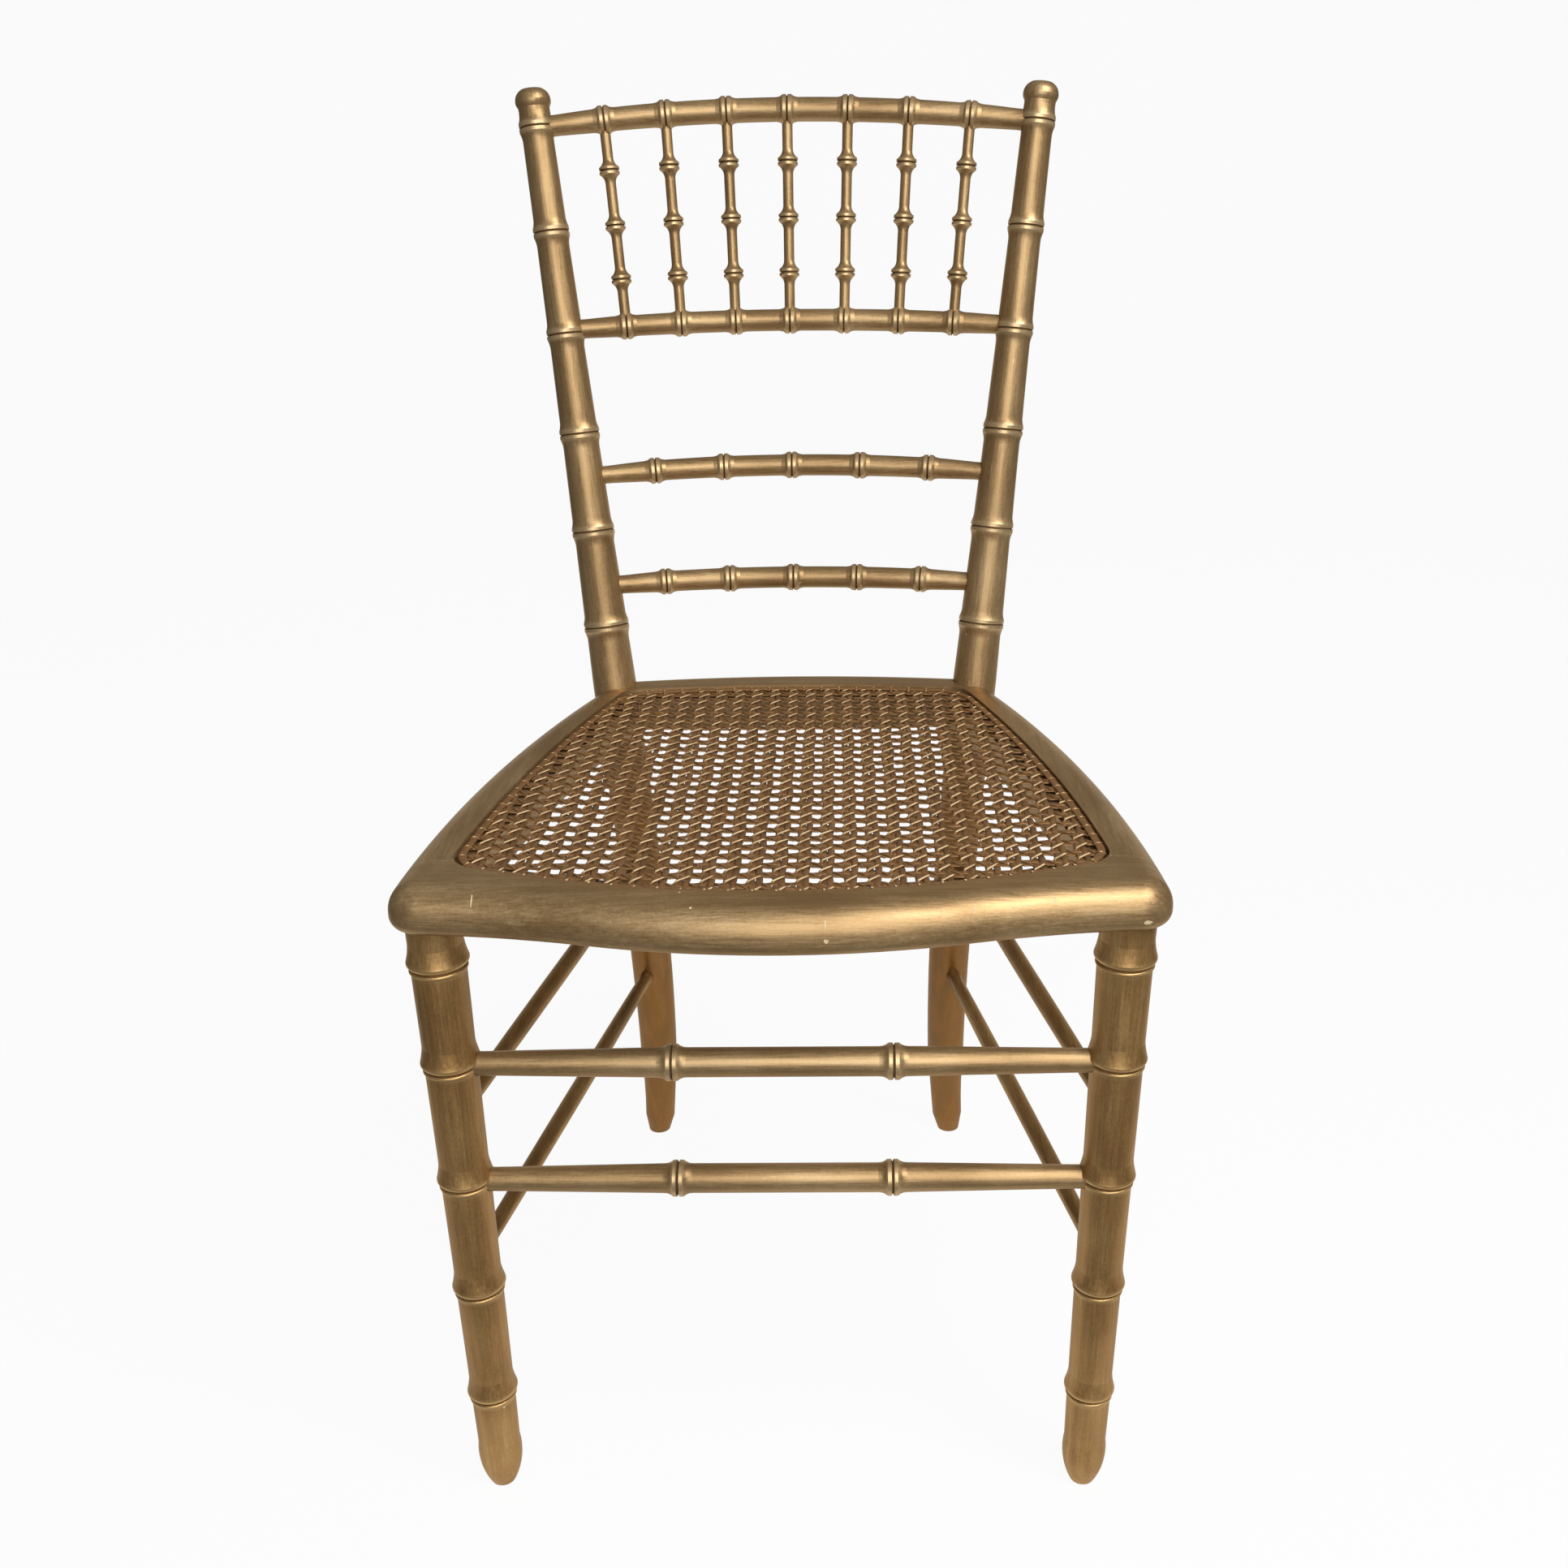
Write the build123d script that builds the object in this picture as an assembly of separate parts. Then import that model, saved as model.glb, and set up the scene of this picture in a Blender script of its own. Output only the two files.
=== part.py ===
from build123d import *
from dataclasses import dataclass
import math
import os

# Side chair of turned wood with a caned seat. Lengths are in millimetres.
# X points right as seen from the front, Y to the back, Z up, and the floor is Z = 0.

# Main sizes
SEAT_HEIGHT = 445.0  # floor to the top of the seat frame
BACK_HEIGHT = 445.0  # seat frame to the tips of the posts
SEAT_WIDTH = 466.0  # across the front corners, before they are rounded
SEAT_DEPTH = 397.0  # from the front corners to the post axes
POST_SPACING = 291.0  # between the post axes at the seat top
BACK_LEAN = 70.5  # how far a post runs to the back on its way up
BACK_SPREAD = 46.0  # how far a post runs outwards on its way up
CLEAR = 0.15  # play around a tenon, a dowel or a post in the frame
END_CLEAR = 0.5  # play behind the end of a tenon or dowel

# Seat frame
FRAME_THICK = 29.0
NOSE_TOP_RADIUS = 19.0  # rounding of the outer edge above
NOSE_UNDER_RADIUS = 8.0  # and below
FRONT_BOW = 30.0  # front edge ahead of the front corners
OGEE_WIDTH_SHARE = 0.48  # share of the half width where the front edge turns hollow
OGEE_BOW_SHARE = 0.55  # share of the bow that is left there
SIDE_BULGE = 18.0
FRONT_CORNER_RADIUS = 22.0
REAR_CORNER_RADIUS = 40.0
REAR_CORNER_OUT = 5.1  # rear corner of the frame, outwards from the post axis
REAR_CORNER_BACK = 15.5  # and behind it
BACK_BULGE = 14.0
FRONT_RAIL_REACH = 47.0  # front corners to the joint with the side rails
BACK_RAIL_REACH = 38.0  # post axes to the joint with the side rails
DOWEL_RADIUS = 4.0
DOWEL_SHORT = 12.0  # depth in the front and back rail
DOWEL_LONG = 24.0  # depth in the side rails
FRONT_DOWEL_PITCH = 22.0
REAR_DOWEL_PITCH = 18.0
POST_DOWEL_DEPTH = 10.0  # depth in the post
POST_DOWEL_BACK = 3.0  # dowel behind the post axis

# Caned panel and its binder
RECESS_DEPTH = 5.0
LEDGE = 16.0  # frame left under the edge of the panel
PANEL_THICK = 1.8
PANEL_FRONT_IN = 32.0  # front corner of the recess, in from the corner of the frame
PANEL_FRONT_BACK = 43.0  # and behind it
PANEL_REAR_IN = 10.5  # rear corner of the recess, in from the post axis
PANEL_REAR_AHEAD = 19.0  # and ahead of it
PANEL_FRONT_BULGE = 43.0
PANEL_SIDE_BULGE = 10.0
PANEL_BACK_BULGE = 10.0
PANEL_FRONT_RADIUS = 22.0
PANEL_REAR_RADIUS = 18.0
PANEL_PLAY = 0.3  # gap between the panel and the wall of the recess
MESH_PITCH = 21.0
MESH_HOLE_RADIUS = 8.0
MESH_HOLE_SIDES = 8
MESH_RIM = 2.0  # least strip between a hole and the ledge
BINDER_IN = 0.8  # binder in from the edge of the panel
BINDER_WIDTH = 5.5
BINDER_THICK = 1.2

# Front legs
FRONT_LEG_INSET = 26.0  # leg axis at the frame, in from the front corner
FRONT_LEG_BACK = 21.0  # and behind it
FRONT_LEG_TUCK = 10.0  # foot inwards of the top
FRONT_LEG_KICK = 10.0  # foot ahead of the top
FRONT_LEG_TOP_RADIUS = 17.0
FRONT_LEG_FOOT_RADIUS = 13.8
FRONT_TOE_RADIUS = 8.0
FRONT_TOE_HEIGHT = 34.0
FRONT_TENON_RADIUS = 9.5
FRONT_TENON_LENGTH = 20.0
COLLAR_SHARES = (0.935, 0.771, 0.571, 0.376, 0.175)  # of the height of the frame underside
COLLAR_RISE = 2.2
COLLAR_FLARE = 11.0
COLLAR_UNDER = 3.2
COLLAR_GROOVE = 1.3
COLLAR_LIP_RISE = 1.1
COLLAR_LIP_WIDTH = 2.4

# Rear posts
POST_SEAT_RADIUS = 17.25
POST_TOP_RADIUS = 11.6
POST_TAPER_POWER = 1.4
POST_RING_COUNT = 6
POST_RING_FIRST = 0.104  # share of the back height
POST_RING_STEP = 0.1672
CAP_RADIUS = 13.4
CAP_DEPTH = 8.4  # from the tip to the widest place
CAP_FLAT = 8.2  # radius of the flat at the tip
CAP_UNDER = 4.8  # from the widest place down to the neck
CAP_NECK_RADIUS = 11.8
REAR_BEND_DROP = 5.0  # start of the bend below the frame
REAR_FOOT_IN = 11.7  # foot inwards of the post axis at the seat
REAR_FOOT_BACK = 36.4  # foot behind it
REAR_TOP_HANDLE = 34.0
REAR_FOOT_HANDLE = 136.0
REAR_FOOT_TURN_OUT = 0.094  # slope of the foot outwards
REAR_FOOT_TURN_BACK = 0.109  # slope of the foot to the back
REAR_LEG_SHARES = (1.0, 0.45, 0.22, 0.11, 0.03, 0.012, 0.0)  # of the height of the bend
REAR_LEG_RADII = (17.25, 17.25, 16.0, 13.8, 13.0, 12.2, 9.6)
REAR_LEG_STATIONS = 25
REAR_LEG_STEP = 0.001  # step along the curve over which its direction is taken
BISECTIONS = 40

# Stretchers
STRETCHER_TENON = 12.0  # depth in a leg
FRONT_STRETCHER_COLLARS = (1, 2)  # collars of the leg that they meet
FRONT_STRETCHER_RADIUS = 9.2
FRONT_STRETCHER_END_RADIUS = 7.5
FRONT_STRETCHER_RING_SHARE = 0.34  # rings from the middle, of the half length
SIDE_STRETCHER_SHARES = {"upper": 0.684, "lower": 0.427}  # of the height of the frame underside
SIDE_STRETCHER_RADIUS = 6.25
SIDE_STRETCHER_END_RADIUS = 5.5
STRETCHER_NECK = 4.0  # length of the end size outside the leg

# Back rails and spindles
BACK_BOW = 18.0  # rails bowed to the back
RAIL_TAPER_POWER = 4.0
RAIL_HOUSING = 3.4  # depth of the full rail end in the post
RAIL_TENON = 9.0  # depth of the tenon in the post
SPINDLE_COUNT = 7
SPINDLE_RADIUS = 4.0
SPINDLE_STOP = 1.0  # spindle ends short of the rail axes
SPINDLE_RINGS = (0.227, 0.492, 0.761)  # shares of the spindle length
BAY_STATIONS = 4  # lengths in the bent stretch between two rings


@dataclass(frozen=True)
class Ring:
    """Turned ring of two lips with a groove between them."""

    lip: float  # radius added at the lips
    flare: float  # length of the hollow slope on either side
    gap: float  # between the lips
    land: float  # flat on top of each lip
    groove: float  # radius added at the bottom of the groove


@dataclass(frozen=True)
class Rail:
    """Bent rail between the posts."""

    share: float  # height on the post, of the back height
    rise: float  # middle above the ends
    radius: float
    end_radius: float
    tenon_radius: float
    rings: int
    spread: float  # ring pitch, of an even share of the span


POST_RING = Ring(lip=1.5, flare=8.0, gap=4.0, land=2.4, groove=0.4)
RAIL_RING = Ring(lip=2.1, flare=5.0, gap=4.0, land=2.4, groove=0.6)
STRETCHER_RING = Ring(lip=2.2, flare=6.0, gap=4.0, land=2.4, groove=0.6)
SPINDLE_RING = Ring(lip=3.7, flare=6.6, gap=3.3, land=1.8, groove=2.3)
FLARE_KNEE = 0.42  # place of the knee of a flare, from the lip
FLARE_SAG = 0.27  # share of the lip height at the knee
QUARTER_MIDDLE = math.sqrt(0.5)  # place of the middle of a quarter arc

TOP_RAIL = Rail(
    share=0.9395, rise=11.2, radius=8.75, end_radius=7.6, tenon_radius=5.0, rings=SPINDLE_COUNT, spread=0.981
)
SPINDLE_RAIL = Rail(
    share=0.612, rise=4.3, radius=8.2, end_radius=7.2, tenon_radius=5.0, rings=SPINDLE_COUNT, spread=0.975
)
UPPER_CROSS_RAIL = Rail(
    share=0.3645, rise=4.5, radius=8.3, end_radius=6.9, tenon_radius=4.5, rings=5, spread=1.0
)
LOWER_CROSS_RAIL = Rail(
    share=0.1735, rise=1.6, radius=8.5, end_radius=7.3, tenon_radius=4.5, rings=5, spread=1.0
)
BACK_RAILS = {
    "top_rail": TOP_RAIL,
    "spindle_rail": SPINDLE_RAIL,
    "upper_cross_rail": UPPER_CROSS_RAIL,
    "lower_cross_rail": LOWER_CROSS_RAIL,
}

# Places that follow from the sizes above
FRAME_UNDERSIDE = SEAT_HEIGHT - FRAME_THICK
FRAME_MIDDLE = SEAT_HEIGHT - FRAME_THICK / 2
CORNER_Y = -SEAT_DEPTH / 2
POST_Y = SEAT_DEPTH / 2
FRONT_CORNER = Vector(SEAT_WIDTH / 2, CORNER_Y)
POST_BASE = Vector(POST_SPACING / 2, POST_Y, SEAT_HEIGHT)
POST_RUN = Vector(BACK_SPREAD, BACK_LEAN, BACK_HEIGHT)
FRONT_LEG_TOP = Vector(FRONT_CORNER.X - FRONT_LEG_INSET, CORNER_Y + FRONT_LEG_BACK, FRAME_UNDERSIDE)
FRONT_LEG_FOOT = Vector(FRONT_LEG_TOP.X - FRONT_LEG_TUCK, FRONT_LEG_TOP.Y - FRONT_LEG_KICK, 0)
FRONT_LEG_RUN = FRONT_LEG_TOP - FRONT_LEG_FOOT
FRONT_JOINT_Y = CORNER_Y + FRONT_RAIL_REACH
BACK_JOINT_Y = POST_Y - BACK_RAIL_REACH
PANEL_BOTTOM = SEAT_HEIGHT - RECESS_DEPTH
PANEL_TOP = PANEL_BOTTOM + PANEL_THICK
BEND_TOP = POST_BASE - POST_RUN * ((FRAME_THICK + REAR_BEND_DROP) / BACK_HEIGHT)
REAR_FOOT = Vector(POST_BASE.X - REAR_FOOT_IN, POST_BASE.Y + REAR_FOOT_BACK, 0)


def post_point(share):
    """Point of the straight right post axis at a share of the back height."""
    return POST_BASE + POST_RUN * share


def front_leg_point(share):
    """Point of the right front leg axis at a share of the height of the frame underside."""
    return FRONT_LEG_FOOT + FRONT_LEG_RUN * share


def rear_leg_point(step):
    """Point of the bent rear leg axis, a cubic curve from the bend (0) to the foot (1)."""
    high = BEND_TOP - POST_RUN.normalized() * REAR_TOP_HANDLE
    low = REAR_FOOT - Vector(REAR_FOOT_TURN_OUT, REAR_FOOT_TURN_BACK, -1) * REAR_FOOT_HANDLE
    left = 1 - step
    return BEND_TOP * left**3 + high * (3 * left**2 * step) + low * (3 * left * step**2) + REAR_FOOT * step**3


def rear_leg_at_height(height):
    """Point of the rear leg axis at a height below the bend."""
    low, high = 0.0, 1.0
    for _ in range(BISECTIONS):
        middle = (low + high) / 2
        if rear_leg_point(middle).Z > height:
            low = middle
        else:
            high = middle
    return rear_leg_point(low)


def rod(start, end, radius):
    """Cylinder from one point to another."""
    run = end - start
    return Plane(origin=start, z_dir=run) * Cylinder(
        radius, run.length, align=(Align.CENTER, Align.CENTER, Align.MIN)
    )


def cut(body, tools):
    """Body with each tool taken away in turn."""
    for tool in tools:
        body = body - tool
    return body


def mirrored(part):
    """The same piece on the other side of the chair."""
    return mirror(part, about=Plane.YZ)


def interpolate(place, places, values):
    """Value at a place between stations that fall from the first to the last."""
    for (high, low), (top, bottom) in zip(zip(places, places[1:]), zip(values, values[1:])):
        if place >= low:
            return bottom + (top - bottom) * (place - low) / (high - low)
    return values[-1]


def ring_points(ring, place, radius):
    """Profile of a ring as (radius, place) points in rising order."""
    inner = ring.gap / 2 - ring.land / 2
    outer = ring.gap / 2 + ring.land / 2
    crest = radius + ring.lip
    knee = radius + ring.lip * FLARE_SAG
    lower = [
        (radius, place - outer - ring.flare),
        (knee, place - outer - ring.flare * FLARE_KNEE),
        (crest, place - outer),
        (crest, place - inner),
    ]
    upper = [(r, 2 * place - s) for r, s in reversed(lower)]
    return lower + [(radius + ring.groove, place)] + upper


def ring_edges(points):
    """Profile edges of a ring, with its flares as arcs."""
    lower = ThreePointArc(*points[:3])
    middle = Polyline(*points[2:-2])
    upper = ThreePointArc(*points[-3:])
    return [lower, *middle.edges(), upper]


def collar_edges(place, radius):
    """Profile edges of a front leg collar: lip, groove and hollow flare, in rising order."""
    groove_low = place - COLLAR_GROOVE / 2
    groove_high = place + COLLAR_GROOVE / 2
    lip_low = groove_low - COLLAR_LIP_WIDTH
    collar = groove_high + COLLAR_UNDER
    flare_top = collar + COLLAR_FLARE
    lip = ThreePointArc(
        (radius, lip_low), (radius + COLLAR_LIP_RISE, lip_low + COLLAR_LIP_WIDTH / 2), (radius, groove_low)
    )
    groove = Line((radius, groove_low), (radius, groove_high))
    under = ThreePointArc(
        (radius, groove_high),
        (radius + COLLAR_RISE * QUARTER_MIDDLE, collar - COLLAR_UNDER * QUARTER_MIDDLE),
        (radius + COLLAR_RISE, collar),
    )
    flare = ThreePointArc(
        (radius + COLLAR_RISE, collar),
        (radius + COLLAR_RISE * FLARE_SAG, collar + COLLAR_FLARE * (1 - FLARE_KNEE)),
        (radius, flare_top),
    )
    return [lip, groove, under, flare]


def joined(groups):
    """Profile edges of a turned piece, with straight runs between the groups."""
    edges = []
    for group in groups:
        if edges:
            edges.append(Line(edges[-1] @ 1, group[0] @ 0))
        edges += group
    return edges


def turned(edges, start, direction):
    """Solid turned from profile edges in (radius, place), along an axis from a start point."""
    bottom = edges[0] @ 0
    top = edges[-1] @ 1
    closing = Polyline(bottom, (0, bottom.Y), (0, top.Y), top)
    face = make_face([*edges, *closing.edges()])
    solid = revolve(Plane.XZ * face, axis=Axis.Z)
    return Plane(origin=start, z_dir=direction) * solid


def lofted(places):
    """Solid through circles, given as (plane, radius)."""
    return loft([plane * Circle(radius) for plane, radius in places], ruled=True)


class BentAxis:
    """Axis of a bent back rail: a circular arc between the post axes."""

    def __init__(self, rail):
        end = post_point(rail.share)
        middle = Vector(0, end.Y, end.Z)
        sag = Vector(0, BACK_BOW, rail.rise)
        self.up = sag.normalized()
        self.radius = (end.X**2 + sag.length**2) / (2 * sag.length)
        self.centre = middle + sag - self.up * self.radius
        self.half_length = self.radius * math.asin(end.X / self.radius)
        self.half_span = end.X

    def point(self, place):
        """Point at a length along the axis from its middle."""
        angle = place / self.radius
        return self.centre + (self.up * math.cos(angle) + Vector(1, 0, 0) * math.sin(angle)) * self.radius

    def tangent(self, place):
        """Direction of the axis there."""
        angle = place / self.radius
        return Vector(1, 0, 0) * math.cos(angle) - self.up * math.sin(angle)

    def plane(self, place):
        """Plane across the axis there."""
        tangent = self.tangent(place)
        return Plane(origin=self.point(place), x_dir=tangent.cross(self.up), z_dir=tangent)

    def ring_places(self, rail):
        """Lengths along the axis at which the rail's rings share the span."""
        pitch = rail.spread * 2 * self.half_span / (rail.rings + 1)
        offsets = [pitch * (index - (rail.rings - 1) / 2) for index in range(rail.rings)]
        return [self.radius * math.asin(offset / self.radius) for offset in offsets]


def post_radius(share):
    """Plain radius of a post at a share of the back height."""
    return POST_TOP_RADIUS + (POST_SEAT_RADIUS - POST_TOP_RADIUS) * (1 - share) ** POST_TAPER_POWER


def rail_radius(rail, place, half_length):
    """Plain radius of a rail at a length from its middle."""
    return rail.radius - (rail.radius - rail.end_radius) * abs(place / half_length) ** RAIL_TAPER_POWER


def rail_ends(rail, axis):
    """Lengths from the middle to the end of the full rail, and to the end of its tenon."""
    surface = axis.half_length - post_radius(rail.share)
    return surface + RAIL_HOUSING, surface + RAIL_TENON


def back_rail(rail):
    """Bent rail with its rings and end tenons."""
    axis = BentAxis(rail)
    full_end, tenon_end = rail_ends(rail, axis)
    neck = full_end - RAIL_HOUSING - STRETCHER_NECK
    stations = [(-full_end, rail.end_radius), (-neck, rail.end_radius)]
    for place in axis.ring_places(rail):
        ring = ring_points(RAIL_RING, place, rail_radius(rail, place, axis.half_length))
        stations += bay_stations(stations[-1], (ring[0][1], ring[0][0]))
        stations += [(s, r) for r, s in ring]
    stations += bay_stations(stations[-1], (neck, rail.end_radius))
    stations += [(neck, rail.end_radius), (full_end, rail.end_radius)]
    body = lofted([(axis.plane(place), radius) for place, radius in stations])
    for side in (-1, 1):
        inner = axis.point(side * full_end)
        outward = axis.tangent(side * full_end) * side
        body += rod(inner, inner + outward * (tenon_end - full_end), rail.tenon_radius)
    return body


def bay_stations(start, end):
    """Stations that carry the bend between two (place, radius) stations, without these."""
    steps = [index / BAY_STATIONS for index in range(1, BAY_STATIONS)]
    return [(start[0] + (end[0] - start[0]) * step, start[1] + (end[1] - start[1]) * step) for step in steps]


def rail_sockets(rail):
    """Hole for the right end of a rail in the right post."""
    axis = BentAxis(rail)
    full_end, tenon_end = rail_ends(rail, axis)
    tangent = axis.tangent(full_end)
    inner = axis.point(full_end)
    outside = inner - tangent * (2 * post_radius(rail.share))
    housing = rod(outside, inner + tangent * CLEAR, rail.end_radius + CLEAR)
    mortise = rod(outside, inner + tangent * (tenon_end - full_end + END_CLEAR), rail.tenon_radius + CLEAR)
    return [housing, mortise]


def spindle_ends(index):
    """Lower and upper end of a spindle, short of the rail axes."""
    lower_axis = BentAxis(SPINDLE_RAIL)
    upper_axis = BentAxis(TOP_RAIL)
    lower = lower_axis.point(lower_axis.ring_places(SPINDLE_RAIL)[index])
    upper = upper_axis.point(upper_axis.ring_places(TOP_RAIL)[index])
    step = (upper - lower).normalized() * SPINDLE_STOP
    return lower + step, upper - step


def spindle(index):
    """Straight spindle with its turned nodes."""
    lower, upper = spindle_ends(index)
    run = upper - lower
    groups = [[Line((SPINDLE_RADIUS, 0), (SPINDLE_RADIUS, SPINDLE_STOP))]]
    for share in SPINDLE_RINGS:
        groups.append(ring_edges(ring_points(SPINDLE_RING, share * run.length, SPINDLE_RADIUS)))
    groups.append([Line((SPINDLE_RADIUS, run.length - SPINDLE_STOP), (SPINDLE_RADIUS, run.length))])
    return turned(joined(groups), lower, run)


def spindle_sockets():
    """Holes for all spindles in the two rails."""
    sockets = []
    for index in range(SPINDLE_COUNT):
        lower, upper = spindle_ends(index)
        play = (upper - lower).normalized() * END_CLEAR
        sockets.append(rod(lower - play, upper + play, SPINDLE_RADIUS + CLEAR))
    return sockets


def cap_arc(widest, radius, rise):
    """Arc between the widest place of the cap, where it is upright, and a radius at a rise from there."""
    width = CAP_RADIUS - radius
    bend = (width**2 + rise**2) / (2 * width)
    turn = math.asin(rise / bend) / 2
    middle = (CAP_RADIUS - bend * (1 - math.cos(turn)), widest + bend * math.sin(turn))
    ends = [(CAP_RADIUS, widest), (radius, widest + rise)]
    lower, upper = sorted(ends, key=lambda point: point[1])
    return ThreePointArc(lower, middle, upper)


def post_upright():
    """Straight upper part of the right post, with rings and cap."""
    length = POST_RUN.length
    start = BEND_TOP - POST_BASE
    low = -start.length
    groups = [[Line((POST_SEAT_RADIUS, low), (POST_SEAT_RADIUS, 0))]]
    for index in range(POST_RING_COUNT):
        share = POST_RING_FIRST + POST_RING_STEP * index
        groups.append(ring_edges(ring_points(POST_RING, share * length, post_radius(share))))
    widest = length - CAP_DEPTH
    under = cap_arc(widest, CAP_NECK_RADIUS, -CAP_UNDER)
    dome = cap_arc(widest, CAP_FLAT, CAP_DEPTH)
    groups.append([under, dome])
    return turned(joined(groups), POST_BASE, POST_RUN)


def rear_leg():
    """Bent plain lower part of the right post."""
    places = []
    for index in range(REAR_LEG_STATIONS + 1):
        step = index / REAR_LEG_STATIONS
        point = rear_leg_point(step)
        ahead = rear_leg_point(min(step + REAR_LEG_STEP, 1))
        behind = rear_leg_point(max(step - REAR_LEG_STEP, 0))
        across = behind - ahead
        if index == 0:
            across = POST_RUN
        if index == REAR_LEG_STATIONS:
            across = Vector(0, 0, 1)
        radius = interpolate(point.Z / BEND_TOP.Z, REAR_LEG_SHARES, REAR_LEG_RADII)
        places.append((Plane(origin=point, x_dir=(1, 0, 0), z_dir=across), radius))
    return lofted(places)


def post_notch():
    """Room for the right post in the seat frame."""
    top = post_point(NOSE_TOP_RADIUS / BACK_HEIGHT)
    return rod(BEND_TOP, top, POST_SEAT_RADIUS + CLEAR)


def post_dowel_ends():
    """Ends of the dowel between the right post and the back rail: in the post, in the rail."""
    axis = post_point(-FRAME_THICK / 2 / BACK_HEIGHT) + Vector(0, POST_DOWEL_BACK, 0)
    surface = axis - Vector(math.sqrt(POST_SEAT_RADIUS**2 - POST_DOWEL_BACK**2), 0, 0)
    return surface + Vector(POST_DOWEL_DEPTH, 0, 0), surface - Vector(DOWEL_LONG, 0, 0)


def frame_dowel_ends():
    """Ends of the four dowels of the right frame joints: in the cross rail, in the side rail."""
    ends = []
    for side in (-0.5, 0.5):
        front = Vector(FRONT_LEG_TOP.X + side * FRONT_DOWEL_PITCH, FRONT_JOINT_Y, FRAME_MIDDLE)
        ends.append((front - Vector(0, DOWEL_SHORT, 0), front + Vector(0, DOWEL_LONG, 0)))
        back = Vector(POST_BASE.X + side * REAR_DOWEL_PITCH, BACK_JOINT_Y, FRAME_MIDDLE)
        ends.append((back + Vector(0, DOWEL_SHORT, 0), back - Vector(0, DOWEL_LONG, 0)))
    return ends


def dowel_hole(ends):
    """Hole for a dowel, longer than the dowel at both ends."""
    start, end = ends
    play = (end - start).normalized() * END_CLEAR
    return rod(start - play, end + play, DOWEL_RADIUS + CLEAR)


def plan_face(half_edges, corners, inset=0.0):
    """Closed face from the edges of its right half, smaller by an inset all round.

    The corners, given as (point, radius), are rounded after the inset, so the radius is smaller by it too.
    """
    left_edges = [mirror(edge, about=Plane.YZ) for edge in half_edges]
    face = make_face([*half_edges, *left_edges])
    if inset:
        face = offset(face, amount=-inset, kind=Kind.INTERSECTION)
    for point, radius in corners:
        for x in (point.X, -point.X):
            vertex = face.vertices().sort_by_distance((x, point.Y, 0))[0]
            if radius > inset:
                face = fillet(vertex, radius - inset)
    return face


def frame_face():
    """Plan of the seat frame at its outer edge."""
    nose = Vector(0, CORNER_Y - FRONT_BOW)
    turn = Vector(FRONT_CORNER.X * OGEE_WIDTH_SHARE, CORNER_Y - FRONT_BOW * OGEE_BOW_SHARE)
    rear = Vector(POST_BASE.X + REAR_CORNER_OUT, POST_Y + REAR_CORNER_BACK)
    front = TangentArc(nose, turn, tangent=(1, 0))
    hollow = TangentArc(turn, FRONT_CORNER, tangent=front % 1)
    side = SagittaArc(FRONT_CORNER, rear, -SIDE_BULGE)
    back = TangentArc(Vector(0, rear.Y + BACK_BULGE), rear, tangent=(1, 0))
    return plan_face(
        [front, hollow, side, back], [(FRONT_CORNER, FRONT_CORNER_RADIUS), (rear, REAR_CORNER_RADIUS)]
    )


def panel_face(inset=0.0):
    """Plan of the recess for the caned panel, smaller by an inset all round."""
    front_corner = FRONT_CORNER + Vector(-PANEL_FRONT_IN, PANEL_FRONT_BACK)
    rear_corner = Vector(POST_BASE.X - PANEL_REAR_IN, POST_Y - PANEL_REAR_AHEAD)
    front = TangentArc(Vector(0, front_corner.Y - PANEL_FRONT_BULGE), front_corner, tangent=(1, 0))
    side = SagittaArc(front_corner, rear_corner, -PANEL_SIDE_BULGE)
    back = TangentArc(Vector(0, rear_corner.Y + PANEL_BACK_BULGE), rear_corner, tangent=(1, 0))
    corners = [(front_corner, PANEL_FRONT_RADIUS), (rear_corner, PANEL_REAR_RADIUS)]
    return plan_face([front, side, back], corners, inset)


def seat_blank():
    """Seat frame before it is divided, without its opening."""
    blank = extrude(Pos(0, 0, FRAME_UNDERSIDE) * frame_face(), amount=FRAME_THICK)
    rounded = fillet(blank.edges().group_by(Axis.Z)[-1], NOSE_TOP_RADIUS)
    return fillet(rounded.edges().group_by(Axis.Z)[0], NOSE_UNDER_RADIUS)


def seat_rails(blank):
    """The four rails of the seat frame by name, with recess, notches and holes."""
    opening = extrude(Pos(0, 0, FRAME_UNDERSIDE) * panel_face(LEDGE), amount=FRAME_THICK)
    recess = extrude(Pos(0, 0, PANEL_BOTTOM) * panel_face(), amount=RECESS_DEPTH)
    tenon = front_leg_tenon(CLEAR, END_CLEAR)
    holes = [post_notch(), tenon, dowel_hole(post_dowel_ends())]
    holes += [dowel_hole(ends) for ends in frame_dowel_ends()]
    frame = cut(blank, [opening, recess, *holes, *[mirrored(hole) for hole in holes]])
    front_part = split(frame, bisect_by=Plane.XZ.offset(-FRONT_JOINT_Y), keep=Keep.BOTH)
    parts = []
    for piece in front_part.solids():
        halves = split(piece, bisect_by=Plane.XZ.offset(-BACK_JOINT_Y), keep=Keep.BOTH)
        parts += halves.solids()
    by_y = sorted(parts, key=lambda piece: piece.center().Y)
    sides = sorted(by_y[1:-1], key=lambda piece: piece.center().X)
    return {
        "seat_front_rail": by_y[0],
        "seat_side_rail_left": sides[0],
        "seat_side_rail_right": sides[-1],
        "seat_back_rail": by_y[-1],
    }


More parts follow.
